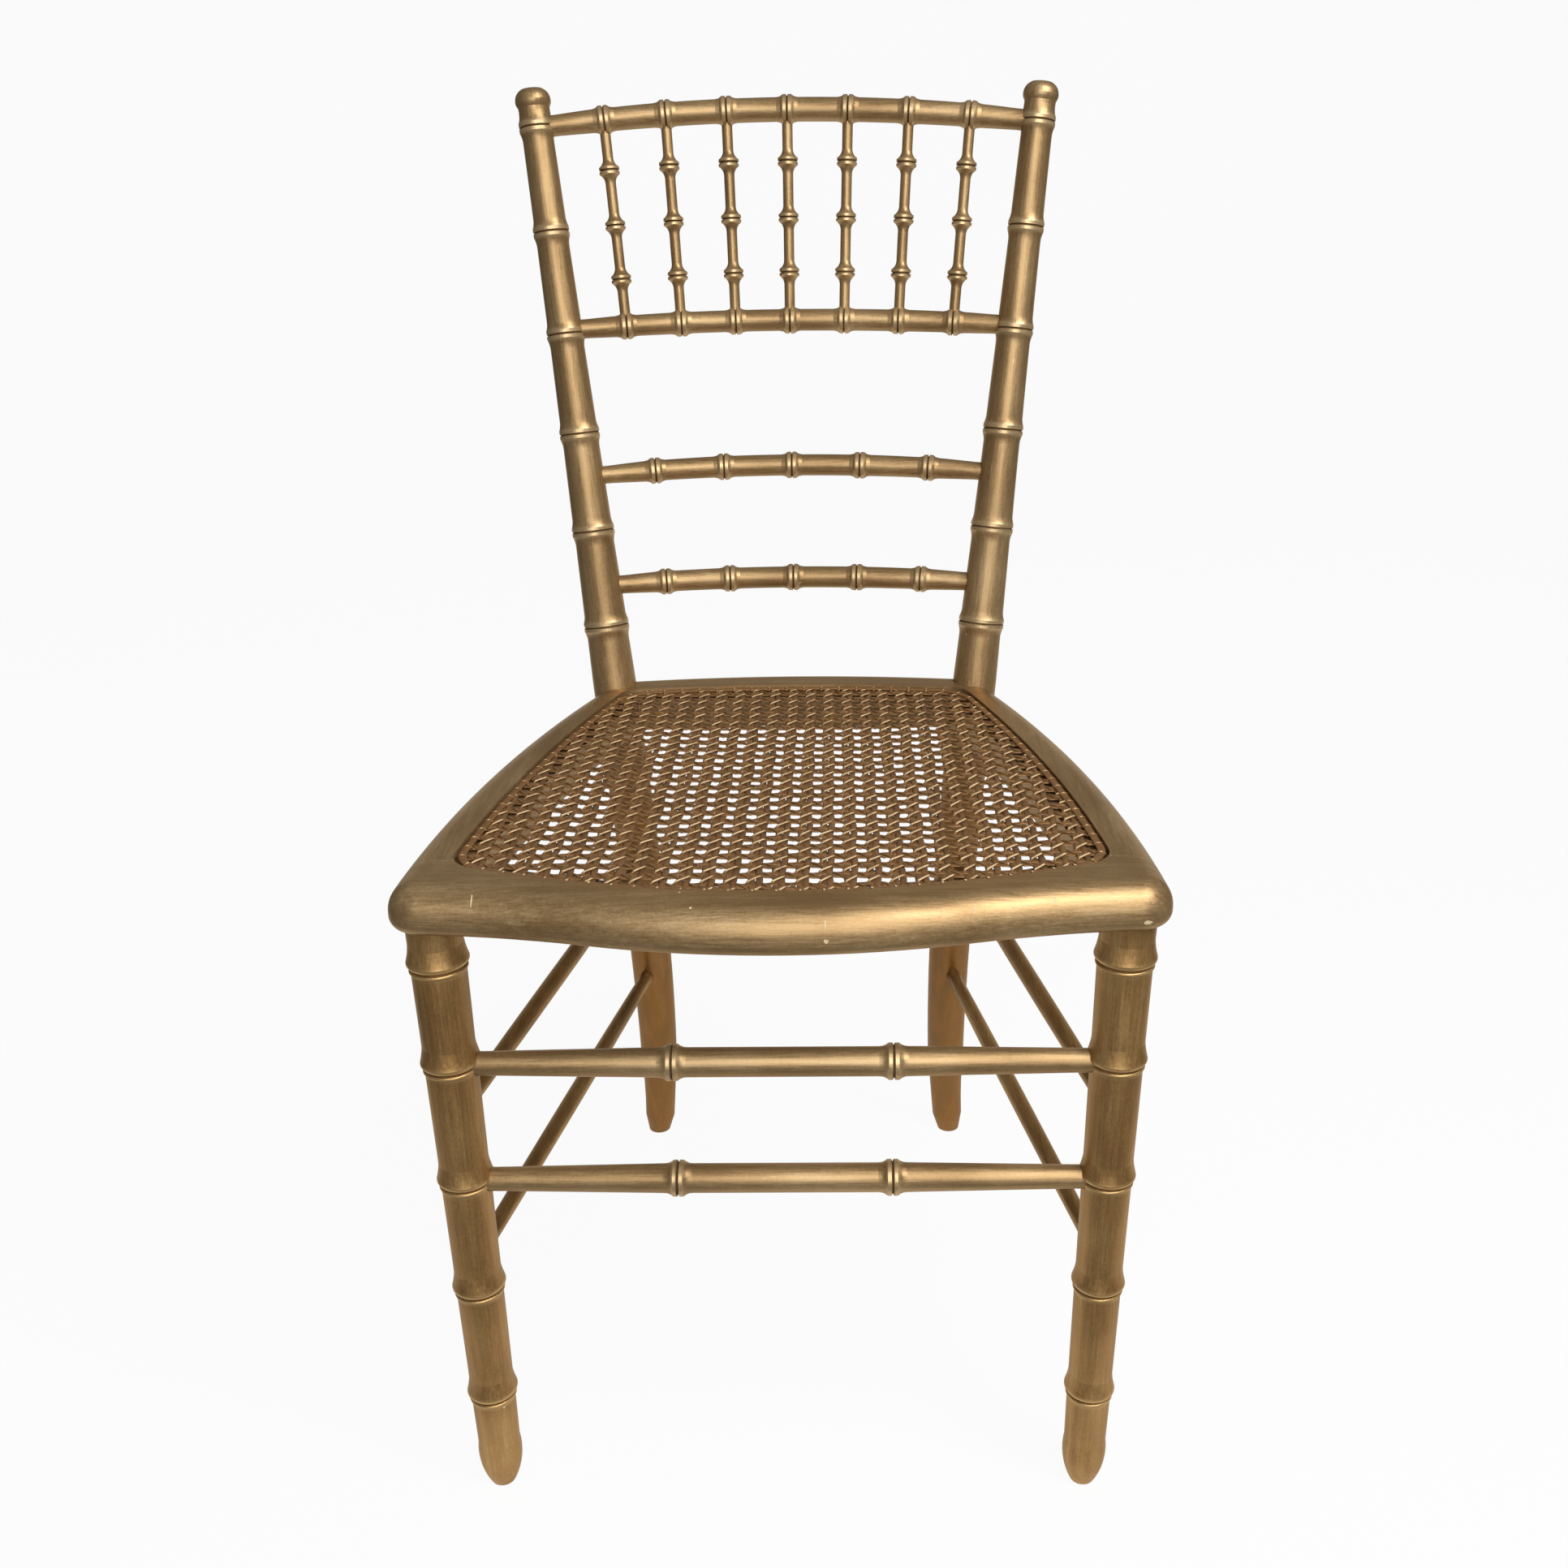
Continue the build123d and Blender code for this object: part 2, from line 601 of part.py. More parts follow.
def cane_panel():
    """Caned panel as a flat net on the ledge of the frame."""
    edge = panel_face(PANEL_PLAY)
    room = panel_face(LEDGE + MESH_RIM + MESH_HOLE_RADIUS).face()
    box = room.bounding_box()
    columns = math.floor(box.max.X / MESH_PITCH)
    rows = math.floor((box.max.Y - box.min.Y) / MESH_PITCH) - 1
    first = (box.max.Y + box.min.Y - rows * MESH_PITCH) / 2
    holes = []
    for row in range(rows + 1):
        for column in range(-columns, columns + 1):
            point = Vector(column * MESH_PITCH, first + row * MESH_PITCH)
            if room.is_inside(point):
                hole = Pos(point.X, point.Y) * RegularPolygon(MESH_HOLE_RADIUS, MESH_HOLE_SIDES)
                holes.append(hole.face().outer_wire())
    net = Face(edge.face().outer_wire(), holes)
    return extrude(Pos(0, 0, PANEL_BOTTOM) * net, amount=PANEL_THICK)


def cane_binder():
    """Binder strip along the border of the panel."""
    outer = PANEL_PLAY + BINDER_IN
    strip = panel_face(outer) - panel_face(outer + BINDER_WIDTH)
    return extrude(Pos(0, 0, PANEL_TOP) * strip, amount=BINDER_THICK)


def front_leg_tenon(play, depth_play):
    """Round tenon on the right front leg, or its hole with play."""
    direction = FRONT_LEG_RUN.normalized()
    end = FRONT_LEG_TOP + direction * (FRONT_TENON_LENGTH + depth_play)
    return rod(FRONT_LEG_TOP - direction * FRONT_TENON_LENGTH, end, FRONT_TENON_RADIUS + play)


def front_leg(blank):
    """Right front leg with collars, rounded toe and tenon, fitted under the seat frame."""
    length = FRONT_LEG_RUN.length
    toe_swell = (FRONT_LEG_FOOT_RADIUS - FRONT_TOE_RADIUS) * QUARTER_MIDDLE
    toe = ThreePointArc(
        (FRONT_TOE_RADIUS, -END_CLEAR),
        (FRONT_TOE_RADIUS + toe_swell, FRONT_TOE_HEIGHT * (1 - QUARTER_MIDDLE) - END_CLEAR),
        (FRONT_LEG_FOOT_RADIUS, FRONT_TOE_HEIGHT),
    )
    groups = [[toe]]
    for share in sorted(COLLAR_SHARES):
        groups.append(collar_edges(share * length, front_leg_radius(share)))
    top = length + NOSE_UNDER_RADIUS
    groups.append([Line((FRONT_LEG_TOP_RADIUS, length), (FRONT_LEG_TOP_RADIUS, top))])
    body = turned(joined(groups), FRONT_LEG_FOOT, FRONT_LEG_RUN)
    floor = Pos(FRONT_LEG_FOOT.X, FRONT_LEG_FOOT.Y, 0) * Box(
        FRAME_THICK * 2, FRAME_THICK * 2, FRAME_THICK, align=(Align.CENTER, Align.CENTER, Align.MAX)
    )
    sockets = []
    for index in FRONT_STRETCHER_COLLARS:
        left, right = front_stretcher_ends(index)
        sockets.append(stretcher_socket(right, left, FRONT_STRETCHER_END_RADIUS))
    for share in SIDE_STRETCHER_SHARES.values():
        front, back = side_stretcher_ends(share)
        sockets.append(stretcher_socket(front, back, SIDE_STRETCHER_END_RADIUS))
    fitted = cut(body, [floor, Pos(0, 0, -CLEAR) * blank])
    return cut(fitted + front_leg_tenon(0, 0), sockets)


def rear_post():
    """Right rear post from foot to cap, with its holes."""
    sockets = [dowel_hole(post_dowel_ends())]
    for rail in BACK_RAILS.values():
        sockets += rail_sockets(rail)
    for share in SIDE_STRETCHER_SHARES.values():
        front, back = side_stretcher_ends(share)
        sockets.append(stretcher_socket(back, front, SIDE_STRETCHER_END_RADIUS))
    return cut(post_upright() + rear_leg(), sockets)


def stretcher_socket(end, other_end, radius):
    """Hole for the end of a stretcher."""
    along = (other_end - end).normalized()
    return rod(end - along * END_CLEAR, end + along * (2 * STRETCHER_TENON), radius + CLEAR)


def front_leg_radius(share):
    """Plain radius of a front leg at a share of the height of the frame underside."""
    return FRONT_LEG_FOOT_RADIUS + (FRONT_LEG_TOP_RADIUS - FRONT_LEG_FOOT_RADIUS) * share


def front_stretcher_ends(index):
    """Left and right end of a front stretcher that meets a collar of the legs."""
    share = COLLAR_SHARES[index]
    axis = front_leg_point(share)
    right = axis - Vector(front_leg_radius(share) - STRETCHER_TENON, 0, 0)
    return Vector(-right.X, right.Y, right.Z), right


def side_stretcher_ends(share):
    """Front and back end of a right side stretcher."""
    front_axis = front_leg_point(share)
    back_axis = rear_leg_at_height(front_axis.Z)
    along = (back_axis - front_axis).normalized()
    front = front_axis + along * (front_leg_radius(share) - STRETCHER_TENON)
    rear_radius = interpolate(back_axis.Z / BEND_TOP.Z, REAR_LEG_SHARES, REAR_LEG_RADII)
    return front, back_axis - along * (rear_radius - STRETCHER_TENON)


def front_stretcher(index):
    """Front stretcher with two rings, thinner at its ends."""
    left, right = front_stretcher_ends(index)
    length = (right - left).length
    neck = STRETCHER_TENON + STRETCHER_NECK
    groups = [[Line((FRONT_STRETCHER_END_RADIUS, 0), (FRONT_STRETCHER_END_RADIUS, neck))]]
    for side in (-1, 1):
        place = length / 2 * (1 + side * FRONT_STRETCHER_RING_SHARE)
        groups.append(ring_edges(ring_points(STRETCHER_RING, place, FRONT_STRETCHER_RADIUS)))
    groups.append([Line((FRONT_STRETCHER_END_RADIUS, length - neck), (FRONT_STRETCHER_END_RADIUS, length))])
    return turned(joined(groups), left, right - left)


def side_stretcher(share):
    """Plain right side stretcher, thinner at its ends."""
    front, back = side_stretcher_ends(share)
    length = (back - front).length
    neck = STRETCHER_TENON + STRETCHER_NECK
    lower = Line((SIDE_STRETCHER_END_RADIUS, 0), (SIDE_STRETCHER_END_RADIUS, neck))
    middle = (SIDE_STRETCHER_RADIUS, length / 2)
    swell = ThreePointArc(lower @ 1, middle, (SIDE_STRETCHER_END_RADIUS, length - neck))
    upper = Line(swell @ 1, (SIDE_STRETCHER_END_RADIUS, length))
    return turned([lower, swell, upper], front, back - front)


def chair():
    """All pieces of the chair by node name."""
    blank = seat_blank()
    nodes = seat_rails(blank)
    nodes["cane_panel"] = cane_panel()
    nodes["cane_binder"] = cane_binder()
    leg = front_leg(blank)
    post = rear_post()
    nodes["front_leg_right"] = leg
    nodes["front_leg_left"] = mirrored(leg)
    nodes["rear_post_right"] = post
    nodes["rear_post_left"] = mirrored(post)
    for place, index in zip(("upper", "lower"), FRONT_STRETCHER_COLLARS):
        nodes[f"front_stretcher_{place}"] = front_stretcher(index)
    for place, share in SIDE_STRETCHER_SHARES.items():
        stretcher = side_stretcher(share)
        nodes[f"side_stretcher_right_{place}"] = stretcher
        nodes[f"side_stretcher_left_{place}"] = mirrored(stretcher)
    sockets = spindle_sockets()
    for name, rail in BACK_RAILS.items():
        body = back_rail(rail)
        nodes[name] = cut(body, sockets) if rail in (TOP_RAIL, SPINDLE_RAIL) else body
    for index in range(SPINDLE_COUNT):
        nodes[f"spindle_{index + 1}"] = spindle(index)
    joint_dowels = [rod(start, end, DOWEL_RADIUS) for start, end in frame_dowel_ends()]
    nodes["seat_frame_dowels"] = Part() + joint_dowels + [mirrored(dowel) for dowel in joint_dowels]
    post_dowel = rod(*post_dowel_ends(), DOWEL_RADIUS)
    nodes["post_dowels"] = post_dowel + mirrored(post_dowel)
    return nodes


def write(nodes):
    """Write every node with the middle of the whole chair's footprint at the origin."""
    boxes = [part.bounding_box() for part in nodes.values()]
    middle_y = (min(box.min.Y for box in boxes) + max(box.max.Y for box in boxes)) / 2
    os.makedirs("parts", exist_ok=True)
    for name, part in nodes.items():
        export_step(Pos(0, -middle_y, 0) * part, f"parts/{name}.step")


write(chair())
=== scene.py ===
import logging
import math
from dataclasses import dataclass, field, replace
from enum import Enum
from functools import reduce
from typing import Any, Sequence, Union

import bpy
import numpy as np
from mathutils import Matrix, Vector


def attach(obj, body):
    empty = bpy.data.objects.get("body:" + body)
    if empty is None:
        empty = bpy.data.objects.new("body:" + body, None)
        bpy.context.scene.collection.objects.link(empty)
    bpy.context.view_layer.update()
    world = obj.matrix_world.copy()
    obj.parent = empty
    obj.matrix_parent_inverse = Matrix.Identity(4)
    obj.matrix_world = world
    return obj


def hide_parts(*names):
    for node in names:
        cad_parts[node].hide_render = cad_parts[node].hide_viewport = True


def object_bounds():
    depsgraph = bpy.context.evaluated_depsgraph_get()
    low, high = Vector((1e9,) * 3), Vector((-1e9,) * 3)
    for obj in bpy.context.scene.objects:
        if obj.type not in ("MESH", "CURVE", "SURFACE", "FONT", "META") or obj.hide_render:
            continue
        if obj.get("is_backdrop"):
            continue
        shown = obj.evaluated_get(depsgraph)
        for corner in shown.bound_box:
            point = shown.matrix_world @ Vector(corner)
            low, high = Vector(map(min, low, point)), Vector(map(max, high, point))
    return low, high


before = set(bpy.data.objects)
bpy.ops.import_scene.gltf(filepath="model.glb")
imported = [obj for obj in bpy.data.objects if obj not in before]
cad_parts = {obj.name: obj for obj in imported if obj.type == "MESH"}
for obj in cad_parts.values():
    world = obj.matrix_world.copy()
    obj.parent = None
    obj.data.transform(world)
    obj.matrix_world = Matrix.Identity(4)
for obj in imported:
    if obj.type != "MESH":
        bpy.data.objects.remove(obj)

LOG = logging.getLogger("chair")
MM = 0.001
PHOTO_SIZE = 1932.0
STROKES_ALONG = 7.0
STROKES_ACROSS = 150.0
FULL_TURN = 2 * math.pi
UPWARD = np.array([0.0, 0.0, 1.0])
STRAND_SECTION = np.array([[-0.5, -0.1], [-0.33, 0.34], [0.0, 0.5], [0.33, 0.34], [0.5, -0.1], [0.0, -0.5]])

Pair = tuple[float, float]
Triple = tuple[float, float, float]
Colour = tuple[float, float, float, float]
Number = Union[float, Sequence[float], "Field"]


class Grain(Enum):
    """Direction in which the gilding was brushed on a piece, as a stretch of its coordinates."""

    SIDEWAYS = (STROKES_ALONG, STROKES_ACROSS, STROKES_ACROSS)
    FRONT_TO_BACK = (STROKES_ACROSS, STROKES_ALONG, STROKES_ACROSS)


class Field:
    """A value in a shader graph that takes part in Python arithmetic."""

    def __init__(self, paint: "Paint", socket: bpy.types.NodeSocket) -> None:
        """Keep the graph and the socket that gives the value."""
        self.paint = paint
        self.socket = socket

    def math(self, operation: str, first: Number, second: Number = 0.0) -> "Field":
        """Add one Math node.

        Args:
            operation: Blender's name of the operation.
            first: first value or field.
            second: second value or field.

        Returns:
            The field of the node's result.
        """
        return self.paint.node("ShaderNodeMath", {"operation": operation}, {0: first, 1: second})

    def __add__(self, other: Number) -> "Field":
        """Sum."""
        return self.math("ADD", self, other)

    __radd__ = __add__

    def __sub__(self, other: Number) -> "Field":
        """Difference."""
        return self.math("SUBTRACT", self, other)

    def __rsub__(self, other: Number) -> "Field":
        """Difference, reflected."""
        return self.math("SUBTRACT", other, self)

    def __mul__(self, other: Number) -> "Field":
        """Product."""
        return self.math("MULTIPLY", self, other)

    __rmul__ = __mul__

    def __truediv__(self, other: Number) -> "Field":
        """Quotient."""
        return self.math("DIVIDE", self, other)

    def __pow__(self, other: Number) -> "Field":
        """Power."""
        return self.math("POWER", self, other)

    def __abs__(self) -> "Field":
        """Absolute value."""
        return self.math("ABSOLUTE", self)

    def __round__(self) -> "Field":
        """Nearest whole number."""
        return self.math("ROUND", self)

    def least(self, other: Number) -> "Field":
        """Smaller of two values."""
        return self.math("MINIMUM", self, other)

    def most(self, other: Number) -> "Field":
        """Larger of two values."""
        return self.math("MAXIMUM", self, other)

    def step(self, low: float, high: float) -> "Field":
        """Smooth step.

        Args:
            low: value at which the result is 0.
            high: value at which the result is 1; it may be under low.

        Returns:
            The field that rises from 0 to 1.
        """
        settings = {"interpolation_type": "SMOOTHSTEP"}
        ranges = {1: low, 2: high, 3: 0.0, 4: 1.0} if low < high else {1: high, 2: low, 3: 1.0, 4: 0.0}
        return self.paint.node("ShaderNodeMapRange", settings, {0: self, **ranges})


class Paint:
    """Shader graph of one material."""

    def __init__(self, name: str) -> None:
        """Start an empty graph with a Principled shader.

        Args:
            name: material name.
        """
        self.material = bpy.data.materials.new(name)
        self.material.use_nodes = True
        self.tree = self.material.node_tree
        self.tree.nodes.clear()
        self.shader = self.tree.nodes.new("ShaderNodeBsdfPrincipled")
        self.output = self.tree.nodes.new("ShaderNodeOutputMaterial")
        self.tree.links.new(self.shader.outputs[0], self.output.inputs[0])

    def put(self, socket: bpy.types.NodeSocket, value: Number) -> None:
        """Link a field to a socket, or set the socket to a constant.

        Args:
            socket: the input.
            value: field or constant.
        """
        if isinstance(value, Field):
            self.tree.links.new(value.socket, socket)
        else:
            socket.default_value = value

    def node(self, kind: str, settings: dict[str, Any], inputs: dict[Any, Number], output: Any = 0) -> Field:
        """Add any node.

        Args:
            kind: Blender's type name.
            settings: properties that are set first.
            inputs: values or fields by socket name or index.
            output: name or index of the output.

        Returns:
            The field of that output.
        """
        added = self.tree.nodes.new(kind)
        for key, value in settings.items():
            setattr(added, key, value)
        for key, value in inputs.items():
            self.put(added.inputs[key], value)
        return Field(self, added.outputs[output])

    def place(self) -> Field:
        """Object coordinates in metres."""
        return self.node("ShaderNodeTexCoord", {}, {}, "Object")

    def axes(self, vector: Field) -> tuple[Field, Field, Field]:
        """Split a vector.

        Args:
            vector: the field to split.

        Returns:
            Its X, Y and Z parts.
        """
        first = self.node("ShaderNodeSeparateXYZ", {}, {0: vector})
        outputs = first.socket.node.outputs
        return first, Field(self, outputs[1]), Field(self, outputs[2])

    def vector(self, x: Number, y: Number, z: Number) -> Field:
        """Vector from three parts."""
        return self.node("ShaderNodeCombineXYZ", {}, {0: x, 1: y, 2: z})

    def vector_math(self, operation: str, first: Number, second: Number, output: Any = 0) -> Field:
        """One Vector Math node."""
        return self.node("ShaderNodeVectorMath", {"operation": operation}, {0: first, 1: second}, output)

    def noise(self, vector: Field, scale: float, detail: float = 3.0, rough: float = 0.55) -> Field:
        """Noise between 0 and 1 at a scale per metre of its vector."""
        inputs = {"Vector": vector, "Scale": scale, "Detail": detail, "Roughness": rough}
        return self.node("ShaderNodeTexNoise", {}, inputs)

    def cells(self, vector: Field, scale: float) -> Field:
        """Distance to the nearest of scattered points, in cell sizes."""
        return self.node("ShaderNodeTexVoronoi", {}, {"Vector": vector, "Scale": scale}, "Distance")

    def blend(self, first: Number, second: Number, factor: Number) -> Field:
        """Mix of two colours."""
        settings = {"data_type": "RGBA", "clamp_factor": True}
        return self.node("ShaderNodeMix", settings, {0: factor, 6: first, 7: second}, 2)

    def bump(self, height: Field, distance: float, strength: float = 1.0) -> None:
        """Feed a height field, in units of the distance in metres, to the shader's normal."""
        inputs = {"Strength": strength, "Distance": distance, "Height": height}
        self.put(self.shader.inputs["Normal"], self.node("ShaderNodeBump", {}, inputs))

    def set(self, **values: Number) -> None:
        """Set or link the shader's sockets by name, with underscores for spaces."""
        for key, value in values.items():
            self.put(self.shader.inputs[key.replace("_", " ")], value)


def rgba(red: float, green: float, blue: float) -> Colour:
    """Turn a colour as seen on a screen into the linear one that shaders use.

    Args:
        red: sRGB red from 0 to 255.
        green: sRGB green from 0 to 255.
        blue: sRGB blue from 0 to 255.

    Returns:
        Linear colour, opaque.
    """
    parts = np.array([red, green, blue]) / 255.0
    linear = np.where(parts > 0.04045, ((parts + 0.055) / 1.055) ** 2.4, parts / 12.92)
    return (float(linear[0]), float(linear[1]), float(linear[2]), 1.0)


@dataclass(frozen=True)
class Gilding:
    """Bronze-gold paint, brushed on and rubbed with age, with painted shade in the grooves, painted
    highlights on the lips and a painted brown reflection low on the posts.
    """

    body: Colour = rgba(170, 140, 98)
    deep: Colour = rgba(117, 87, 51)
    # bright: rubbed wear, and on the turned lips a painted highlight too
    bright: Colour = rgba(214, 186, 142)
    # painted shade laid into the grooves of the turnings
    groove_shade: Colour = rgba(62, 41, 22)
    chip: Colour = rgba(236, 218, 178)
    # painted reflection of a brown ground: darker, warmer colour low on the posts
    reflected_brown: Colour = rgba(142, 98, 45)
    metallic: float = 0.74
    roughness: float = 0.43
    coat: float = 0.2
    coat_roughness: float = 0.4
    edge: Colour = rgba(226, 204, 172)
    relief: float = 0.55
    relief_height: float = 0.3 * MM
    stroke_scale: float = 4.6
    streak_scale: float = 0.8
    scratch_scale: float = 7.0
    cloud_scale: float = 12.0
    grit_scale: float = 480.0
    flake_scale: float = 46.0
    patch_scale: float = 19.0
    thin_tones: Pair = (0.53, 0.4)
    rubbed_tones: Pair = (0.5, 0.63)
    scratch_peaks: Pair = (0.66, 0.72)
    scratch_streaks: Pair = (0.48, 0.6)
    flake_sizes: Pair = (0.05, 0.03)
    flake_patches: Pair = (0.58, 0.62)
    thin_share: float = 0.62
    rubbed_share: float = 0.5
    scratch_share: float = 0.7
    lip_share: float = 0.65
    groove_shade_share: float = 0.65
    chip_share: float = 0.7
    reflection_wear_loss: float = 0.8

    def apply(
        self,
        paint: Paint,
        brushed: Field,
        groove: Number,
        lip: Number,
        mark: Number = 0.0,
        under_seat_reflection: Number = 0.0,
    ) -> None:
        """Build the paint on a graph.

        The tone is 0.33 clouds + 0.25 broad strokes + 0.27 fine strokes + 0.15 grit. Where it is low the
        paint is thin and dark, and where it is high it is rubbed bright. Roughness and metal vary with the
        same layers.

        Args:
            paint: graph to fill.
            brushed: coordinates stretched across the brush strokes.
            groove: 1 in the grooves, where shade is painted.
            lip: 1 on the turned lips, which are rubbed bright and get a painted highlight.
            mark: 1 where a scratch shows the pale ground.
            under_seat_reflection: 1 where a darker, warmer reflection of the ground is painted.
        """
        place = paint.place()
        fine = paint.noise(brushed, self.stroke_scale, detail=5.0, rough=0.7)
        broad = paint.noise(brushed, self.streak_scale, detail=2.0)
        cloud = paint.noise(place, self.cloud_scale)
        grit = paint.noise(place, self.grit_scale, rough=0.7)
        tone = cloud * 0.33 + broad * 0.25 + fine * 0.27 + grit * 0.15
        thin = tone.step(*self.thin_tones)
        rubbed = tone.step(*self.rubbed_tones)
        scratch = paint.noise(brushed, self.scratch_scale, detail=2.0).step(*self.scratch_peaks)
        scratch = scratch * broad.step(*self.scratch_streaks)
        flake = paint.cells(place, self.flake_scale).step(*self.flake_sizes)
        patch = paint.noise(place, self.patch_scale, detail=1.0).step(*self.flake_patches)
        pale = (flake * patch).most(mark)
        wear_and_highlight = (rubbed * self.rubbed_share).most(scratch * self.scratch_share)
        # painted reflection under the seat: less rubbed brightness and a darker, warmer colour
        wear_and_highlight = wear_and_highlight * (1.0 - under_seat_reflection * self.reflection_wear_loss)
        colour = paint.blend(self.body, self.reflected_brown, under_seat_reflection)
        colour = paint.blend(colour, self.deep, thin * self.thin_share)
        colour = paint.blend(colour, self.bright, wear_and_highlight)
        # painted highlight on the turned lips, over their rubbed wear
        colour = paint.blend(colour, self.bright, lip * self.lip_share)
        # painted shade in the grooves
        colour = paint.blend(colour, self.groove_shade, groove * self.groove_shade_share)
        colour = paint.blend(colour, self.chip, pale * self.chip_share)
        rough = self.roughness + (fine - 0.5) * 0.42 + (cloud - 0.5) * 0.16 + (grit - 0.5) * 0.24
        rough = rough + groove * 0.25 + pale * 0.2 - lip * 0.06
        metal = self.metallic - groove * 0.4 - thin * 0.12 - pale * 0.6
        paint.set(Base_Color=colour, Roughness=rough, Metallic=metal)
        paint.set(Coat_Weight=self.coat, Coat_Roughness=self.coat_roughness, Specular_Tint=self.edge)
        paint.bump(fine + broad * 0.6 + grit * 0.1 - pale * 0.6, self.relief_height, self.relief)


class Finish(Enum):
    """The gilding on the wood and a darker, browner copy of it, which paints shade and a brown ground's
    reflection on the low pieces.
    """

    PALE = Gilding()
    # darker, browner copy: painted shade and reflection of a brown ground
    BROWN_REFLECTION = Gilding(body=rgba(166, 128, 78), deep=rgba(108, 76, 40), bright=rgba(208, 172, 116))


@dataclass(frozen=True)
class Lips:
    """Widths of the painted shade in the groove and of the rubbed lips with their painted highlight about the
    middle of a turned ring.

    A shadow line is a fine painted shadow at a distance under the ring.
    """

    groove: float
    crest: float
    fade: float
    seam: float = 0.0
    shadow_line_half: float = 0.7 * MM
    shadow_line_core: float = 0.2 * MM
    seam_shade: float = 0.6

    def masks(self, distance: Field) -> tuple[Field, Field]:
        """Find where shade is painted in a turning's groove and where its rubbed lips get a painted
        highlight.

        The groove is full within 0.4 of its half width, and the lip sets in from 0.8 to 1.3 of it.

        Args:
            distance: distance to the nearest ring.

        Returns:
            Groove mask and lip mask.
        """
        groove = distance.step(self.groove, self.groove * 0.4)
        lip = distance.step(self.fade, self.crest) * distance.step(self.groove * 0.8, self.groove * 1.3)
        return groove, lip


@dataclass(frozen=True)
class StraightTurning:
    """Axis of a straight turned piece, with the places of its rings.

    The axis is given for the right side; the left side is its mirror image. Below the lowest place the
    piece is plain, and a darker, warmer reflection of the ground is painted over the share called
    reflection_run.
    """

    start: Triple
    end: Triple
    rings: tuple[float, ...]
    lips: Lips
    lowest: float = -1.0
    reflection_run: float = 0.3

    def nearest(self, along: Field, length: float, drop: float = 0.0) -> Field:
        """Distance to the nearest ring.

        Args:
            along: place along the axis.
            length: length of the axis.
            drop: how far under each ring it is measured from.

        Returns:
            The distance along the axis.
        """
        distances = [abs(along - (ring * length - drop)) for ring in self.rings]
        return reduce(Field.least, distances)

    def paint(self, name: str, gilding: Gilding) -> bpy.types.Material:
        """Gilding with strokes along the axis, painted shade in the grooves and painted highlights on the
        rubbed lips.

        With the unit axis a, the place along it is s = (P - start) . a. With the strokes' scales m across and
        n along, their coordinates are m P - (m - n) s a, which stretches them along the axis.

        Args:
            name: material name.
            gilding: the paint.

        Returns:
            The material.
        """
        graph = Paint(name)
        start = np.array(self.start)
        run = np.array(self.end) - start
        length = float(np.linalg.norm(run))
        axis = run / length
        x, y, z = graph.axes(graph.place())
        offset = graph.vector_math("SUBTRACT", graph.vector(abs(x), y, z), tuple(start))
        along = graph.vector_math("DOT_PRODUCT", offset, tuple(axis), "Value")
        groove, lip = self.lips.masks(self.nearest(along, length))
        # painted shadow: a fine dark line under each ring
        if self.lips.seam:
            seam = self.nearest(along, length, self.lips.seam).step(self.lips.shadow_line_half, self.lips.shadow_line_core)
            groove = groove.most(seam * self.lips.seam_shade)
        above = along.step(self.lowest * length - MM, self.lowest * length)
        sign = x / abs(x).most(MM)
        wide = graph.vector_math("MULTIPLY", graph.place(), (STROKES_ACROSS,) * 3)
        pull = (STROKES_ACROSS - STROKES_ALONG) * axis
        shift = graph.vector(along * sign * pull[0], along * pull[1], along * pull[2])
        brushed = graph.vector_math("SUBTRACT", wide, shift)
        # painted reflection: darker, warmer colour below the lowest place
        under_seat_reflection = along.step(self.lowest * length, (self.lowest - self.reflection_run) * length)
        gilding.apply(graph, brushed, groove * above, lip * above, under_seat_reflection=under_seat_reflection)
        return graph.material


